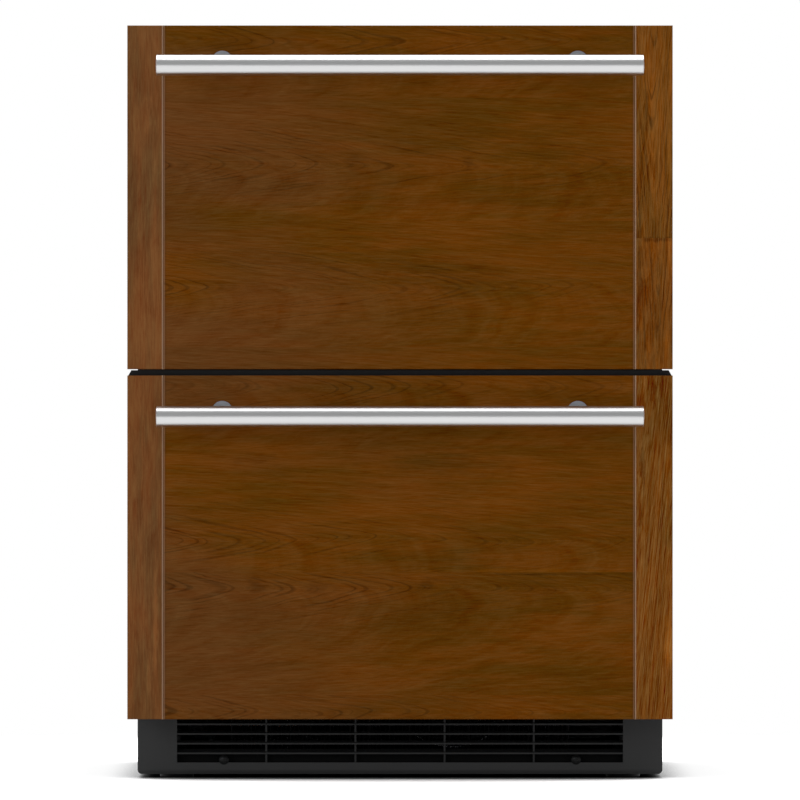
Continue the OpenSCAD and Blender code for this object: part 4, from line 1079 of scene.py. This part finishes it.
@dataclass
class Drawer(SubAssembly):
    """One drawer: its front, handle, door, bin and slides."""

    prefix: str
    left_wood: Timber
    right_wood: Timber
    edge_w: float = 0.010
    edge_h: float = 0.004
    edge_t: float = 0.0006
    edge_radius: float = 0.004
    corner: float = 0.0005
    rim_t: float = 0.0005
    rim_gap: float = 0.00005
    rim_lap: float = 0.0003
    rib_pitch: float = 0.040
    rib_w: float = 0.003
    rib_h: float = 0.0008
    rib_inset: float = 0.022
    rib_margin: float = 0.034
    rib_bevel: float = 0.0003
    bin_t: float = 0.002
    hump_back: float = 0.272
    cage_w: float = 0.0042
    cage_t: float = 0.0008
    cage_end: float = 0.008
    cage_radius: float = 0.001
    ball_d: float = 0.003
    ball_hole: float = 0.00324

    def dress(self) -> None:
        """Gives each node of the drawer its finish."""
        looks = {
            "wood_field": WOOD_FIELD, "left_stile": self.left_wood,
            "right_stile": self.right_wood, "handle_bar": HANDLE_STEEL,
            "handle_posts": SHADED_POST_STEEL, "door_pan": DOOR_BLACK, "door_cap": DOOR_BLACK,
            "door_foam": FOAM_CREAM, "door_liner": LINER_WHITE, "gasket": RUBBER_GREY,
            "bin": BIN_WHITE, "inner_rails": SLIDE_STEEL, "middle_rails": SLIDE_STEEL,
            "outer_rails": SLIDE_STEEL,
        }
        for node, finish in looks.items():
            PAINT.dress(finish, f"{self.prefix}_{node}")

    def build(self) -> None:
        """Adds the drawer's small pieces."""
        self._door_edge()
        self._bin_ribs()
        self._ball_cages()

    def _door_edge(self) -> None:
        """Folded edge of the door pan round the inner door liner, and the rim outside it."""
        low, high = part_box(f"{self.prefix}_door_pan")
        seal_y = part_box(f"{self.prefix}_gasket")[0].y
        seat = (0.0, seal_y + self.edge_t, 0.0)
        inner = oblong(low.x + self.edge_w, high.x - self.edge_w, low.z + self.edge_h,
                       high.z - self.edge_h, self.edge_radius)
        outer = oblong(low.x, high.x, low.z, high.z, self.corner)
        form = Form().plate(outer, [inner], seat, RIGHTWARDS, UPWARDS, self.edge_t)
        gap, t = self.rim_gap, self.rim_t
        left, right, foot, top = low.x - gap, high.x + gap, low.z - gap, high.z - gap
        rim = [(left, top), (left - t, top), (left - t, foot - t), (right + t, foot - t),
               (right + t, top), (right, top), (right, foot), (left, foot)]
        depth = seal_y + self.edge_t - high.y + self.rim_lap
        form.plate(rim, [], seat, RIGHTWARDS, UPWARDS, depth)
        form.piece(f"{self.prefix}_door_edge", DOOR_BLACK, "black_metal", f"{self.prefix}_drawer")

    def _bin_ribs(self) -> None:
        """Low ribs along the bin's floor."""
        low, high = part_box(f"{self.prefix}_bin")
        rail_low, rail_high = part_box(f"{self.prefix}_inner_rails")
        front, back = low.y + self.rib_inset, high.y - self.rib_inset
        if self.prefix == "lower":
            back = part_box("machine_cover")[1].y - self.hump_back
        half = (rail_high.x - rail_low.x) / 2 - self.rib_margin
        count = int(half / self.rib_pitch)
        floor = (0.0, 0.0, low.z + self.bin_t)
        reach = self.rib_w / 2
        form = Form()
        for i in range(-count, count + 1):
            x = i * self.rib_pitch
            outline = oblong(x - reach, x + reach, front, back, reach * 0.9)
            form.plate(outline, [], floor, RIGHTWARDS, BACKWARDS, self.rib_h)
        form.piece(f"{self.prefix}_bin_ribs", BIN_WHITE, "white_plastic", f"{self.prefix}_drawer",
                   bevel=self.rib_bevel)

    def _ball_cages(self) -> None:
        """Strips that hold the balls of the slides apart."""
        reach = self.cage_w / 2
        form = Form()
        for (x, z), places in self._ball_rows().items():
            outline = oblong(x - reach, x + reach, places[0] - self.cage_end,
                             places[-1] + self.cage_end, self.cage_radius)
            holes = [[(x + a, y + b) for a, b in circle(self.ball_hole / 2, 16)] for y in places]
            form.plate(outline, holes, (0.0, 0.0, z - self.cage_t / 2), RIGHTWARDS, BACKWARDS,
                       self.cage_t)
        form.piece(f"{self.prefix}_ball_cages", PLATED, "slide_steel",
                   f"{self.prefix}_slide_middles")

    def _ball_rows(self) -> dict[Flat, list[float]]:
        """Finds the rows of balls in the solid of the middle members.

        Returns:
            For each row's (x, z), the y of its balls.
        """
        points = [v.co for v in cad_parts[f"{self.prefix}_middle_rails"].data.vertices]
        low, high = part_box(f"{self.prefix}_middle_rails")
        rows: dict[Flat, list[float]] = {}
        for side in (-1, 1):
            for edge, inward in ((low.z, 1), (high.z, -1)):
                tips = [p for p in points if p.x * side > 0 and abs(p.z - edge) < 1e-5]
                if tips:
                    centre_z = edge + inward * self.ball_d / 2
                    rows[(tips[0].x, centre_z)] = sorted({round(p.y, 5) for p in tips})
        LOG.info("%s rows of balls", len(rows))
        return rows


@dataclass
class Cabinet(SubAssembly):
    """The insulated cabinet with its fixings."""

    cover_margin: Flat = (0.010, 0.009)
    cold_margin: Flat = (0.008, 0.012)
    bracket_middle: float = 0.020
    bracket_screws: Flat = (0.012, 0.028)

    def dress(self) -> None:
        """Gives each node of the cabinet its finish."""
        PAINT.dress(CABINET_BLACK, "cabinet_shell", "mullion_rail")
        PAINT.dress(BACK_GREY, "back_panel")
        PAINT.dress(COVER_GREY, "machine_cover")
        PAINT.dress(FOAM_CREAM, "insulation")
        PAINT.dress(LINER_WHITE, "upper_liner", "lower_liner", "evaporator_cover")
        PAINT.dress(PLATED, "counter_brackets")
        PAINT.dress(RUBBER_BLACK, "cord_bush")
        PAINT.dress(LENS_WHITE, "light_lenses")

    def build(self) -> None:
        """Adds the screws of the machine cover, the countertop brackets and the coil cover."""
        low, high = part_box("machine_cover")
        across, up = self.cover_margin
        reach = high.x - across
        places = [(reach * share, high.y, z) for z in (low.z + up, high.z - up)
                  for share in (-1.0, -1 / 3, 1 / 3, 1.0)]
        self._screws("machine_cover_screws", places, BACKWARDS, ZINC_SCREW, "screw_black")

        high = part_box("counter_brackets")[1]
        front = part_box("cabinet_shell")[0].y
        middle = high.x - self.bracket_middle
        places = [(side, front + back, high.z) for side in (-middle, middle)
                  for back in self.bracket_screws]
        self._screws("bracket_screws", places, UPWARDS, ZINC_SCREW, "screw_black")

        low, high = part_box("evaporator_cover")
        across, up = self.cold_margin
        places = [(x, low.y, z) for x in (low.x + across, high.x - across)
                  for z in (low.z + up, high.z - up)]
        self._screws("evaporator_cover_screws", places, FORWARDS, PLATED, "slide_steel")

    def _screws(self, name: str, places: Sequence[Point], axis: Point, finish: Finish,
                slot: str) -> None:
        """Adds a piece that is made of screw heads.

        Args:
            name: the piece's name.
            places: the seats of the heads.
            axis: the way that the heads face.
            finish: their finish.
            slot: their material slot in the record.
        """
        form = Form()
        for at in places:
            SCREW.add(form, at, axis)
        form.piece(name, finish, slot, "cabinet")


@dataclass
class KickPlate(SubAssembly):
    """The kick plate with its louvred grille."""

    def dress(self) -> None:
        """Gives the kick plate, its grille and its screws their finish."""
        PAINT.dress(KICK_BLACK, "kick_plate")
        PAINT.dress(GRILLE_BLACK, "louvre_grille")
        PAINT.dress(SCREW_BLACK, "kick_plate_screws")


@dataclass
class Cooling(SubAssembly):
    """Compressor, coils, pipes and fans."""

    pipe: float = 0.004
    capillary: float = 0.0012
    pipe_bend: float = 0.009
    sides: int = 12
    tubes: int = 4
    fins: int = 78
    fin_t: float = 0.00025
    fin_wave: float = 0.0004
    fin_waves: int = 8
    fin_margin: float = 0.001
    fin_end: float = 0.003
    tube_end: float = 0.008
    condenser_foot: float = 0.008
    condenser_bend: float = 0.016
    evaporator_foot: float = 0.0005
    evaporator_bend: float = 0.010
    deck: float = 0.0155
    bolt_half: float = 0.050
    bolt_washer: tuple[Flat, ...] = (
        (0.008, 0.0), (0.008, 0.0012), (0.0079, 0.0012), (0.0002, 0.0012))
    bolt_head: tuple[Flat, ...] = (
        (0.005, 0.0), (0.005, 0.0036), (0.0042, 0.0042), (0.0002, 0.0042))
    sheet: float = 0.001
    ends_out: float = 0.008
    ends_bend: float = 0.006
    clip_wire: float = 0.0009
    clip_gap: float = 0.0006
    clip_depth: float = 0.020
    clip_bend: float = 0.003
    clip_half: float = 0.010
    clip_low: float = 0.080
    clip_top: float = 0.116
    process_pipe: float = 0.0032
    process_x: float = 0.074
    process_z: float = 0.100
    process_root: float = 0.018
    process_rise: float = 0.040
    process_bend: float = 0.008
    process_tip: tuple[Flat, ...] = (
        (0.0034, 0.0), (0.0036, 0.002), (0.0036, 0.005), (0.0018, 0.0075))
    stub_reach: float = 0.076
    stub_z: float = 0.1119
    stub_half: float = 0.020
    stub_out: float = 0.010
    stub_lap: float = 0.004
    tube_lap: float = 0.002
    discharge_drop: float = 0.030
    discharge_out: float = 0.012
    liquid_out: float = 0.024
    drier_x: float = 0.065
    drier_ahead: float = 0.014
    drier_low: float = 0.020
    drier_high: float = 0.055
    drier_lap: float = 0.0005
    drier: tuple[Flat, ...] = (
        (0.0030, 0.0), (0.0036, 0.006), (0.0085, 0.014), (0.0095, 0.018), (0.0095, 0.060),
        (0.0085, 0.064), (0.0030, 0.072), (0.0014, 0.076))

    def dress(self) -> None:
        """Gives the cooling parts their finish."""
        PAINT.dress(PUMP_BLACK, "compressor")
        PAINT.dress(COIL_SHADE_BLACK, "condenser_coil")
        PAINT.dress(COIL_METAL, "evaporator_coil")
        PAINT.dress(FAN_BLACK, "condenser_fan", "evaporator_fan", "condensate_pan")
        PAINT.dress(HOUSING_GREY, "condenser_fan_housing", "evaporator_fan_motor")

    def build(self) -> None:
        """Adds fins, bends, pipes and fixings."""
        self._condenser()
        self._evaporator()
        self._bolts()
        self._clip()
        self._process_tube()
        self._discharge()
        self._suction()
        self._liquid()

    @property
    def pump(self) -> Vector:
        """The compressor's axis, which is that of the pan over it."""
        low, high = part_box("condensate_pan")
        return Vector(((low.x + high.x) / 2, (low.y + high.y) / 2, 0.0))

    @property
    def seat(self) -> float:
        """The height of the compressor's base plate."""
        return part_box("base_pan")[0].z + self.deck

    @property
    def rows(self) -> list[Vector]:
        """The places of the condenser tubes.

        Returns:
            The y and z of each, from the front.
        """
        low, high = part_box("condenser_coil")
        z = (low.z + self.condenser_foot + high.z) / 2
        return [Vector((0.0, low.y + (high.y - low.y) * (i + 0.5) / self.tubes, z))
                for i in range(self.tubes)]

    @property
    def stub(self) -> Vector:
        """The end of the compressor's pipe stubs, midway between them."""
        y = min(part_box("compressor")[0].y, self.pump.y - self.stub_reach)
        return Vector((self.pump.x, y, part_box("base_pan")[0].z + self.stub_z))

    @property
    def ceiling(self) -> float:
        """The height where the pipes enter the cold space."""
        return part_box("machine_cover")[1].z - self.sheet

    def _stack(self, node: str, foot: float) -> Form:
        """Thin wavy fins between a coil's end plates.

        Args:
            node: the coil.
            foot: how far the fins stay above the coil's lowest point.

        Returns:
            The form with the fins.
        """
        low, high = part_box(node)
        first, last = low.x + self.tube_end + self.fin_end, high.x - self.tube_end - self.fin_end
        front, depth = low.y + self.fin_margin, high.y - low.y - 2 * self.fin_margin
        run = Vector((0.0, 0.0, high.z - low.z - foot - self.fin_margin))
        form = Form()
        for i in range(self.fins):
            x = first + (last - first) * i / (self.fins - 1)
            line = [Vector((x + self.fin_wave * (-1) ** k, front + depth * k / self.fin_waves,
                            low.z + foot)) for k in range(self.fin_waves + 1)]
            form.sheet(line, run, Vector((self.fin_t, 0.0, 0.0)))
        return form

    def _bends(self, node: str, ends: Sequence[Vector], reach: float) -> Form:
        """Return bends that join a coil's tubes: two on its right and one on its left.

        Args:
            node: the coil.
            ends: the y and z of its tubes.
            reach: how far the bends reach outwards.

        Returns:
            The form with the bends.
        """
        low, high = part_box(node)
        form = Form()
        for x, out, first, second in ((high.x, reach, ends[0], ends[1]),
                                      (high.x, reach, ends[2], ends[3]),
                                      (low.x, -reach, ends[1], ends[2])):
            middle, half = (first + second) / 2, (first - second) / 2
            path = []
            for step in range(13):
                angle = math.pi * step / 12
                point = middle + half * math.cos(angle)
                path.append(Vector((x + out * math.sin(angle), point.y, point.z)))
            form.tube(path, self.pipe, self.sides)
        return form

    def _condenser(self) -> None:
        """Fins and return bends of the condenser."""
        fins = self._stack("condenser_coil", self.condenser_foot)
        fins.piece("condenser_fins", COIL_SHADE_BLACK, "coil_black", "cabinet")
        bends = self._bends("condenser_coil", self.rows, self.condenser_bend)
        bends.piece("condenser_bends", COIL_SHADE_BLACK, "coil_black", "cabinet")

    def _evaporator(self) -> None:
        """Fins, return bends and pipe ends of the evaporator."""
        low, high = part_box("evaporator_coil")
        fins = self._stack("evaporator_coil", self.evaporator_foot)
        fins.piece("evaporator_fins", COIL_METAL, "coil_aluminium", "cabinet")
        y = (low.y + high.y) / 2
        ends = [Vector((0.0, y, low.z + (high.z - low.z) * (i + 0.5) / self.tubes))
                for i in range(self.tubes)]
        bends = self._bends("evaporator_coil", ends, self.evaporator_bend)
        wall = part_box("upper_liner")[1].y - self.sheet
        out = low.x - self.ends_out
        for z in (ends[0].z, ends[-1].z):
            path = rounded([(low.x, y, z), (out, y, z), (out, wall, z)], self.ends_bend)
            bends.tube(path, self.pipe, self.sides)
        bends.piece("evaporator_bends", COIL_METAL, "coil_aluminium", "cabinet")

    def _bolts(self) -> None:
        """Bolts with washers that hold the compressor on its rubber feet."""
        bolts = Form()
        for x in (self.pump.x - self.bolt_half, self.pump.x + self.bolt_half):
            for y in (self.pump.y - self.bolt_half, self.pump.y + self.bolt_half):
                bolts.turned(self.bolt_washer, (x, y, self.seat), UPWARDS)
                top = self.seat + self.bolt_washer[-1][1]
                bolts.turned(self.bolt_head, (x, y, top), UPWARDS, 6)
        bolts.piece("compressor_bolts", ZINC_SCREW, "screw_black", "cabinet", sharp=25.0)

    def _clip(self) -> None:
        """Wire that holds the compressor's terminal cover."""
        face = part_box("compressor")[1].x + self.clip_gap
        back = face - self.clip_depth
        low, top = self.seat + self.clip_low, self.seat + self.clip_top
        near, far = self.pump.y - self.clip_half, self.pump.y + self.clip_half
        wire = [(back, near, low), (face, near, low), (face, near, top), (face, far, top),
                (face, far, low), (back, far, low)]
        clip = Form().tube(rounded(wire, self.clip_bend, 4), self.clip_wire, 8)
        clip.piece("terminal_clip", PLATED, "slide_steel", "cabinet")

    def _process_tube(self) -> None:
        """Pinched tube through which the compressor was filled."""
        x, y, z = self.pump.x - self.process_x, self.pump.y, self.seat + self.process_z
        top = z + self.process_rise
        line = rounded([(x + self.process_root, y, z), (x, y, z), (x, y, top)], self.process_bend)
        process = Form().tube(line, self.process_pipe, self.sides)
        process.turned(self.process_tip, (x, y, top - self.sheet), UPWARDS)
        process.piece("process_tube", COPPER, "coil_black", "cabinet")

    def _pipe(self, corners: Sequence[Point], share: float = 1.0) -> Form:
        """A form with a bent pipe, whose radius is a share of the usual one."""
        return Form().tube(rounded(corners, self.pipe_bend), self.pipe * share, self.sides)

    def _discharge(self) -> None:
        """Pipe from the compressor to the condenser's rear tube."""
        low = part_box("condenser_coil")[0]
        last, stub = self.rows[-1], self.stub
        x, ahead = stub.x - self.stub_half, stub.y - self.stub_out
        corner = low.x - self.discharge_out
        form = self._pipe([
            (x, stub.y + self.stub_lap, stub.z), (x, ahead, stub.z),
            (x, ahead, last.z + self.discharge_drop), (corner, ahead, last.z),
            (corner, last.y, last.z), (low.x + self.tube_lap, last.y, last.z)], 0.8)
        form.piece("discharge_pipe", COPPER, "coil_black", "cabinet")

    def _suction(self) -> None:
        """Pipe from the evaporator back to the compressor."""
        stub = self.stub
        x, ahead = stub.x + self.stub_half, stub.y - self.stub_out
        form = self._pipe([(x, stub.y + self.stub_lap, stub.z), (x, ahead, stub.z),
                           (x, ahead, self.ceiling)])
        form.piece("suction_pipe", COPPER, "coil_black", "cabinet")

    def _liquid(self) -> None:
        """Pipe from the condenser's front tube through the filter drier, and its capillary."""
        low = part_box("condenser_coil")[0]
        first, stub, side = self.rows[0], self.stub, low.x - self.liquid_out
        x, y, foot = stub.x + self.drier_x, stub.y - self.drier_ahead, stub.z - self.drier_low
        form = self._pipe([
            (low.x + self.tube_lap, first.y, first.z), (side, first.y, first.z),
            (side, y, first.z), (x, y, first.z), (x, y, foot)], 0.7)
        top = stub.z + self.drier_high
        form.tube([Vector((x, y, top)), Vector((x, y, self.ceiling))], self.capillary, 8)
        form.turned(self.drier, (x, y, foot - self.drier_lap), UPWARDS)
        form.piece("liquid_pipe", COPPER, "coil_black", "cabinet")


@dataclass
class Controls(SubAssembly):
    """Control housing with its display and keys."""

    mark_d: float = 0.0042
    mark_t: float = 0.00035
    line: float = 0.0006
    ring_gap: float = math.radians(38)
    ring_steps: int = 20

    def dress(self) -> None:
        """Gives the controls their finish."""
        PAINT.dress(CONTROL_BLACK, "control_housing")
        PAINT.dress(DISPLAY_GLOSS, "display_window")
        PAINT.dress(KEY_GREY, "power_button", "cooler_button", "warmer_button")

    def build(self) -> None:
        """Adds the raised marks of the keys."""
        self._mark("power", self._ring_mark())
        self._mark("cooler", self._arrow_mark(-1))
        self._mark("warmer", self._arrow_mark(1))

    def _ring_mark(self) -> list[list[Flat]]:
        """The shapes of the power mark.

        Returns:
            An open ring and a bar.
        """
        outer, inner = self.mark_d / 2, self.mark_d / 2 - self.line
        start, sweep = math.pi / 2 + self.ring_gap, math.tau - 2 * self.ring_gap
        turns = [start + sweep * i / self.ring_steps for i in range(self.ring_steps + 1)]
        ring = [(outer * math.cos(a), outer * math.sin(a)) for a in turns]
        ring += [(inner * math.cos(a), inner * math.sin(a)) for a in reversed(turns)]
        half, top = self.line / 2, outer * 1.15
        return [ring, [(-half, 0.0), (half, 0.0), (half, top), (-half, top)]]

    def _arrow_mark(self, way: int) -> list[list[Flat]]:
        """The shape of an arrow mark.

        Args:
            way: 1 where it points up, -1 where it points down.

        Returns:
            The chevron.
        """
        wide, tall, thick = self.mark_d / 2, self.mark_d / 4, self.line * 1.3
        points = [(-wide, -tall), (0.0, tall), (wide, -tall), (wide, -tall - thick),
                  (0.0, tall - thick), (-wide, -tall - thick)]
        return [[(u, v * way) for u, v in points]]

    def _mark(self, key: str, outlines: Sequence[Sequence[Flat]]) -> None:
        """Raises a mark on a key.

        Args:
            key: the key's name.
            outlines: the mark's shapes, round the key's middle.
        """
        low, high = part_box(f"{key}_button")
        middle = ((low.x + high.x) / 2, low.y, (low.z + high.z) / 2)
        form = Form()
        for outline in outlines:
            form.plate(outline, [], middle, RIGHTWARDS, UPWARDS, self.mark_t)
        form.piece(f"{key}_mark", MARK_WHITE, "button_grey", f"{key}_key")


@dataclass
class Base(SubAssembly):
    """Base pan and levelling legs."""

    def dress(self) -> None:
        """Gives the base its finish."""
        PAINT.dress(BASE_SHADE_BLACK, "base_pan")
        legs = [f"{end}_{side}_leg" for end in ("front", "rear") for side in ("left", "right")]
        PAINT.dress(LEG_BLACK, *legs)


# ------------------------------------------------------------------ studio


@dataclass(frozen=True)
class Lamp:
    """A soft rectangular lamp."""

    name: str
    at: Point
    aim: Point
    width: float
    height: float
    glow: float
    colour: Colour = (1.0, 1.0, 1.0)

    def build(self) -> None:
        """Hangs the lamp; its glow is the radiance of its face."""
        light = bpy.data.lights.new(self.name, "AREA")
        light.shape = "RECTANGLE"
        light.size, light.size_y = self.width, self.height
        light.energy = self.glow * self.width * self.height * math.pi
        light.color = self.colour
        lamp = bpy.data.objects.new(self.name, light)
        bpy.context.scene.collection.objects.link(lamp)
        lamp.location = self.at
        heading = Vector(self.aim) - Vector(self.at)
        lamp.rotation_euler = heading.to_track_quat("-Z", "Y").to_euler()


@dataclass
class Studio:
    """Floor, backdrop, lamps and camera."""

    lens: float = 486.0
    camera_y: float = -12.2765
    camera_z: float = 0.4218
    sensor: float = 36.0
    sight: float = 60.0
    floor_half: float = 12.0
    # contact and contact_samples shape the painted contact shadow, and floor_shade its strength.
    contact: float = 0.3
    contact_samples: int = 16
    floor_albedo: float = 0.80
    floor_seen: float = 4.0
    floor_shade: float = 2.4
    # Where and how strongly painted light lifts the floor's shadow beside the object.
    flank: Flat = (0.29, 0.34)
    flank_painted_light: float = 0.86
    far: Flat = (0.7, 1.4)
    far_mirrored: Flat = (0.30, 0.60)
    room_front: Flat = (0.05, 0.35)
    room_top: Flat = (0.95, 0.90)
    room_glow: float = 0.62
    room_dim: float = 0.68
    lamps: tuple[Lamp, ...] = (
        Lamp("overhead_softbox", (0.0, 0.0, 2.7), (0.0, 0.0, 0.0), 3.4, 2.3, 1.8),
        Lamp("left_key", (-2.2, -2.4, 1.3), (0.0, -0.2, 0.45), 1.0, 1.6, 4.6,
             (0.92, 0.96, 1.0)),
        Lamp("right_fill", (2.8, -3.2, 1.0), (0.0, -0.2, 0.4), 1.2, 1.6, 1.6),
        Lamp("rear_fill", (0.0, 3.4, 1.6), (0.0, 0.3, 0.4), 2.4, 1.6, 1.6),
    )

    def build(self) -> None:
        """Sets up everything round the object."""
        self._floor()
        self._world()
        self._camera()
        for lamp in self.lamps:
            lamp.build()
        bpy.context.scene.view_settings.view_transform = "Standard"

    def _camera(self) -> None:
        """Places the level long-lens camera."""
        data = bpy.data.cameras.new("camera")
        data.lens = self.lens
        data.sensor_width = self.sensor
        data.clip_end = self.sight
        camera = bpy.data.objects.new("camera", data)
        bpy.context.scene.collection.objects.link(camera)
        camera.location = (0.0, self.camera_y, self.camera_z)
        camera.rotation_euler = (math.pi / 2, 0.0, 0.0)
        bpy.context.scene.camera = camera

    def _floor(self) -> None:
        """Lays the pale floor, which turns into plain backdrop away from the object. Near the
        object an ambient occlusion node darkens its colour, a painted contact shadow, and painted
        light lifts that again beside it.
        """
        h = self.floor_half
        mesh = bpy.data.meshes.new("floor")
        mesh.from_pydata([(-h, -h, 0), (h, -h, 0), (h, h, 0), (-h, h, 0)], [], [(0, 1, 2, 3)])
        floor = bpy.data.objects.new("floor", mesh)
        bpy.context.scene.collection.objects.link(floor)
        s = Shader(bpy.data.materials.new("studio_floor"))
        x, y, _ = s.place()
        seen, mirrored, through = self._rays(s)
        radius = (x * x + y * y).root()
        # Painted light beside the object: by its distance across, the floor turns to white glow,
        # which lifts the shadow there.
        painted_light_beside = x.size().rise(*self.flank) * self.flank_painted_light
        # Painted contact shadow: an ambient occlusion node darkens the floor's colour near the
        # object.
        contact = s.node("ShaderNodeAmbientOcclusion", {"samples": self.contact_samples},
                         {"Distance": self.contact})
        open_air, = s.values(contact, "AO")
        white_and_painted_shadow = s.brightened((self.floor_seen,) * 3, open_air.power(self.floor_shade))
        lit = s.mix(seen, (self.floor_albedo,) * 3, white_and_painted_shadow)
        paint = s.node("ShaderNodeBsdfDiffuse", None, {"Color": lit})
        glow = s.node("ShaderNodeEmission", None, {"Color": (1.0, 1.0, 1.0), "Strength": 1.0})
        looked_at = radius.rise(*self.far).at_least(painted_light_beside) * seen.at_least(through)
        share = looked_at.at_least(radius.rise(*self.far_mirrored) * mirrored)
        blend = s.node("ShaderNodeMixShader", None, {0: share, 1: paint, 2: glow})
        out = next(n for n in s.tree.nodes if n.type == "OUTPUT_MATERIAL")
        s.feed(out.inputs["Surface"], blend)
        s.tree.nodes.remove(s.main)
        mesh.materials.append(s.owner)

    def _world(self) -> None:
        """A white backdrop, with a dim room on the camera's side that only reflections show."""
        world = bpy.data.worlds.new("studio")
        bpy.context.scene.world = world
        s = Shader(world)
        s.tree.nodes.clear()
        _, y, z = s.split(s.node("ShaderNodeTexCoord").outputs["Generated"])
        seen, mirrored, through = self._rays(s)
        dim = (0.0 - y).rise(*self.room_front) * z.rise(*self.room_top)
        reflected = 1.0 - dim * self.room_dim
        shown = seen.at_least(through)
        unseen = mirrored * reflected + (1.0 - mirrored) * self.room_glow
        level = shown + (1.0 - shown) * unseen
        glow = s.node("ShaderNodeBackground", None, {"Color": (1.0, 1.0, 1.0), "Strength": level})
        s.feed(s.node("ShaderNodeOutputWorld").inputs["Surface"], glow)

    def _rays(self, s: Shader) -> list[Value]:
        """Whether a ray comes from the camera, from a glossy surface or through glass."""
        kinds = ("Is Camera Ray", "Is Glossy Ray", "Is Transmission Ray")
        return s.values(s.node("ShaderNodeLightPath"), *kinds)


def main() -> None:
    """Builds the classes in order."""
    logging.basicConfig(level=logging.WARNING)
    drawers = (Drawer("upper", UPPER_LEFT_WOOD, UPPER_RIGHT_WOOD),
               Drawer("lower", LOWER_LEFT_WOOD, LOWER_RIGHT_WOOD))
    for part in (*drawers, Cabinet(), KickPlate(), Cooling(), Controls(), Base()):
        LOG.info("sub-assembly %s", type(part).__name__)
        part.dress()
        part.build()
    Studio().build()


if __name__ == "__main__":
    main()
